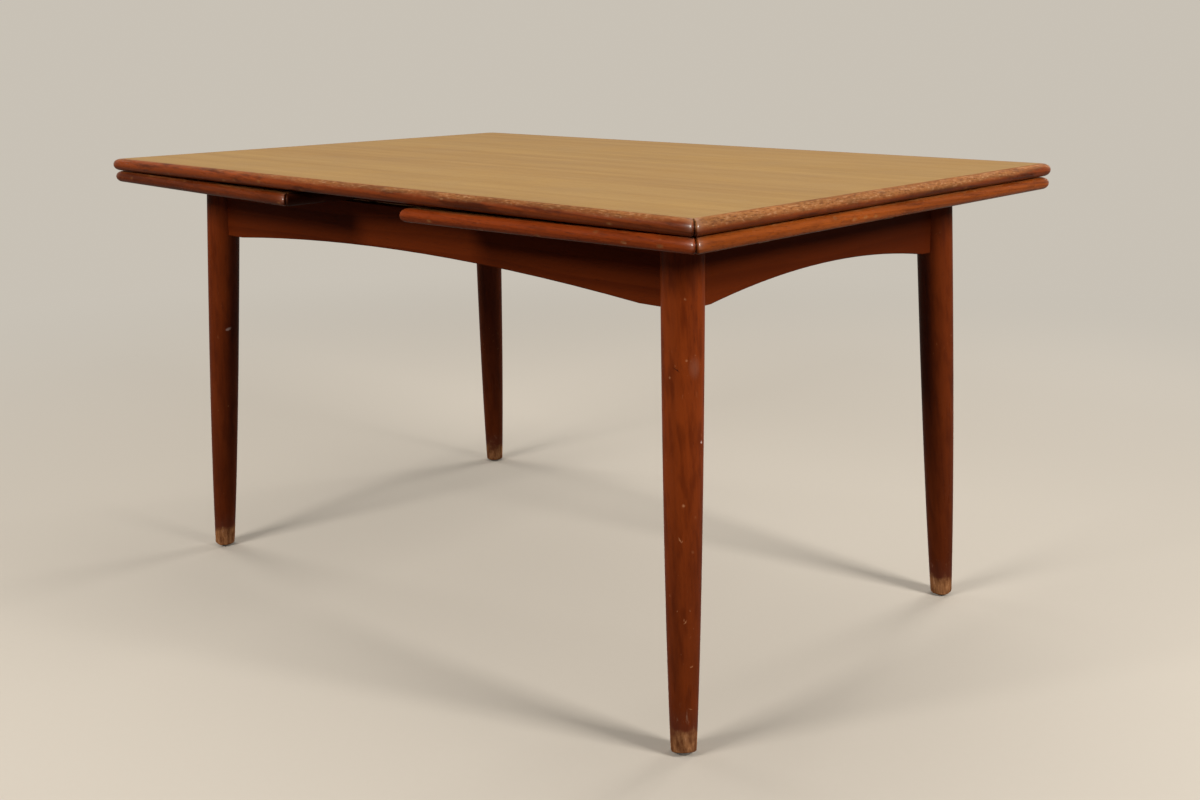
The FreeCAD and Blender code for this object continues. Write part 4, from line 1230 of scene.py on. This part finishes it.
# CAD nodes that stay as they are
def finish_cad_nodes():
    """Finishes of the CAD nodes that stay, by the start of their names."""
    finishes = {
        "top_panel": TOP_VENEER, "right_leaf_panel": LEAF_VENEER, "left_leaf_panel": LEAF_VENEER,
        "side_rail": SIDE_RAIL_TEAK, "end_rail": END_RAIL_TEAK, "glide": GLIDE_STEEL,
        "top_guide_peg": BEECH_UPRIGHT, "top_peg_pins": SCREW_STEEL,
        "right_leaf_stop_pegs": BEECH_ALONG, "left_leaf_stop_pegs": BEECH_ALONG,
    }
    for name, node in frame["nodes"].items():
        for stem, material in finishes.items():
            if name.startswith(stem):
                clad(node.data, material)


# Stage
def seen_directly(tree, gloss_share):
    """How far a ray shows a surface to the eye: in full straight or through glass, and in part in gloss."""
    path = tree.nodes.new("ShaderNodeLightPath").outputs
    gloss = times(tree, path["Is Glossy Ray"], gloss_share)
    through = maths(tree, "MAXIMUM", gloss, path["Is Transmission Ray"])
    return maths(tree, "MAXIMUM", path["Is Camera Ray"], through)


def floor():
    """Plain pale floor that fades into the backdrop, and hides nothing from below."""
    bpy.ops.mesh.primitive_circle_add(vertices=FLOOR_SIDES, radius=FLOOR_RADIUS, fill_type="NGON")
    disc = bpy.context.object
    disc.name = "floor"
    disc.location.z = -FLOOR_GAP
    material, tree, shader = new_material("pale_floor")
    place = object_place(tree)
    seen = seen_directly(tree, FLOOR_GLOSS_SHARE)
    speckle = range_of(tree, noise(tree, place, 90.0, 4.0, 0.6), 0.3, 0.7, 0.0, 0.06)
    pale = mixed(tree, speckle, rgba(FLOOR_COLOUR), rgba(FLOOR_SPECKLE))
    wire(tree, shader, Base_Color=mixed(tree, seen, rgba(FLOOR_BOUNCE), pale), Roughness=FLOOR_ROUGHNESS)
    glow = add_node(tree, "ShaderNodeEmission", {"Color": rgba(BACKDROP)})
    far = times(tree, step_between(tree, length_of(tree, place), *FLOOR_FADE), seen)
    blend = add_node(tree, "ShaderNodeMixShader", {0: far, 1: shader.outputs[0], 2: glow.outputs[0]})
    below = times(tree, tree.nodes.new("ShaderNodeNewGeometry").outputs["Backfacing"],
                  tree.nodes.new("ShaderNodeLightPath").outputs["Is Camera Ray"])
    clear = tree.nodes.new("ShaderNodeBsdfTransparent")
    sided = add_node(tree, "ShaderNodeMixShader", {0: below, 1: blend.outputs[0], 2: clear.outputs[0]})
    output = next(node for node in tree.nodes if node.type == "OUTPUT_MATERIAL")
    tree.links.new(sided.outputs[0], output.inputs[0])
    clad(disc.data, material)


def world():
    """Even room light, with a pale backdrop to the eye."""
    room = bpy.data.worlds.new("room")
    room.use_nodes = True
    tree = room.node_tree
    background = next(node for node in tree.nodes if node.type == "BACKGROUND")
    seen = seen_directly(tree, BACKDROP_GLOSS_SHARE)
    tree.links.new(mixed(tree, seen, rgba(AMBIENT), rgba(BACKDROP)), background.inputs["Color"])
    bpy.context.scene.world = room


def lamps():
    """A softbox near each side of the table and one overhead; only the two strong ones shine in gloss."""
    for name, (bearing, distance, height, wide, tall, power, colour) in LAMPS.items():
        light = bpy.data.lights.new(name, "AREA")
        light.shape = "RECTANGLE"
        light.size = wide
        light.size_y = tall
        light.energy = power
        light.color = colour
        lamp = bpy.data.objects.new(name, light)
        angle = math.radians(bearing)
        lamp.location = (distance * math.cos(angle), distance * math.sin(angle), height)
        lamp.rotation_euler = (Vector(LAMP_AIM) - lamp.location).to_track_quat("-Z", "Y").to_euler()
        lamp.visible_glossy = name in SHINING_LAMPS
        bpy.context.scene.collection.objects.link(lamp)


def camera():
    """Camera at the photograph's place and angle."""
    yaw, pitch, roll = (math.radians(angle) for angle in (CAMERA_YAW, CAMERA_PITCH, CAMERA_ROLL))
    forward = Vector((-math.sin(yaw) * math.cos(pitch), math.cos(yaw) * math.cos(pitch), -math.sin(pitch)))
    level = Vector((math.cos(yaw), math.sin(yaw), 0.0))
    down = forward.cross(level)
    right = math.cos(roll) * level + math.sin(roll) * down
    up = math.sin(roll) * level - math.cos(roll) * down
    lens = bpy.data.cameras.new("camera")
    lens.sensor_width = SENSOR_WIDTH
    lens.lens = CAMERA_LENS
    lens.clip_end = 2 * FLOOR_RADIUS
    eye = bpy.data.objects.new("camera", lens)
    eye.matrix_world = Matrix.Translation(CAMERA_PLACE) @ Matrix((right, up, -forward)).transposed().to_4x4()
    bpy.context.scene.collection.objects.link(eye)
    bpy.context.scene.camera = eye


turned_legs(turned_leg_tree())
edge_lippings(rubbed_edge_tree())
slotted_screws(slotted_screws_tree())
inner_timbers()
felt_pads()
finish_cad_nodes()
floor()
world()
lamps()
camera()
bpy.context.scene.view_settings.view_transform = "Standard"
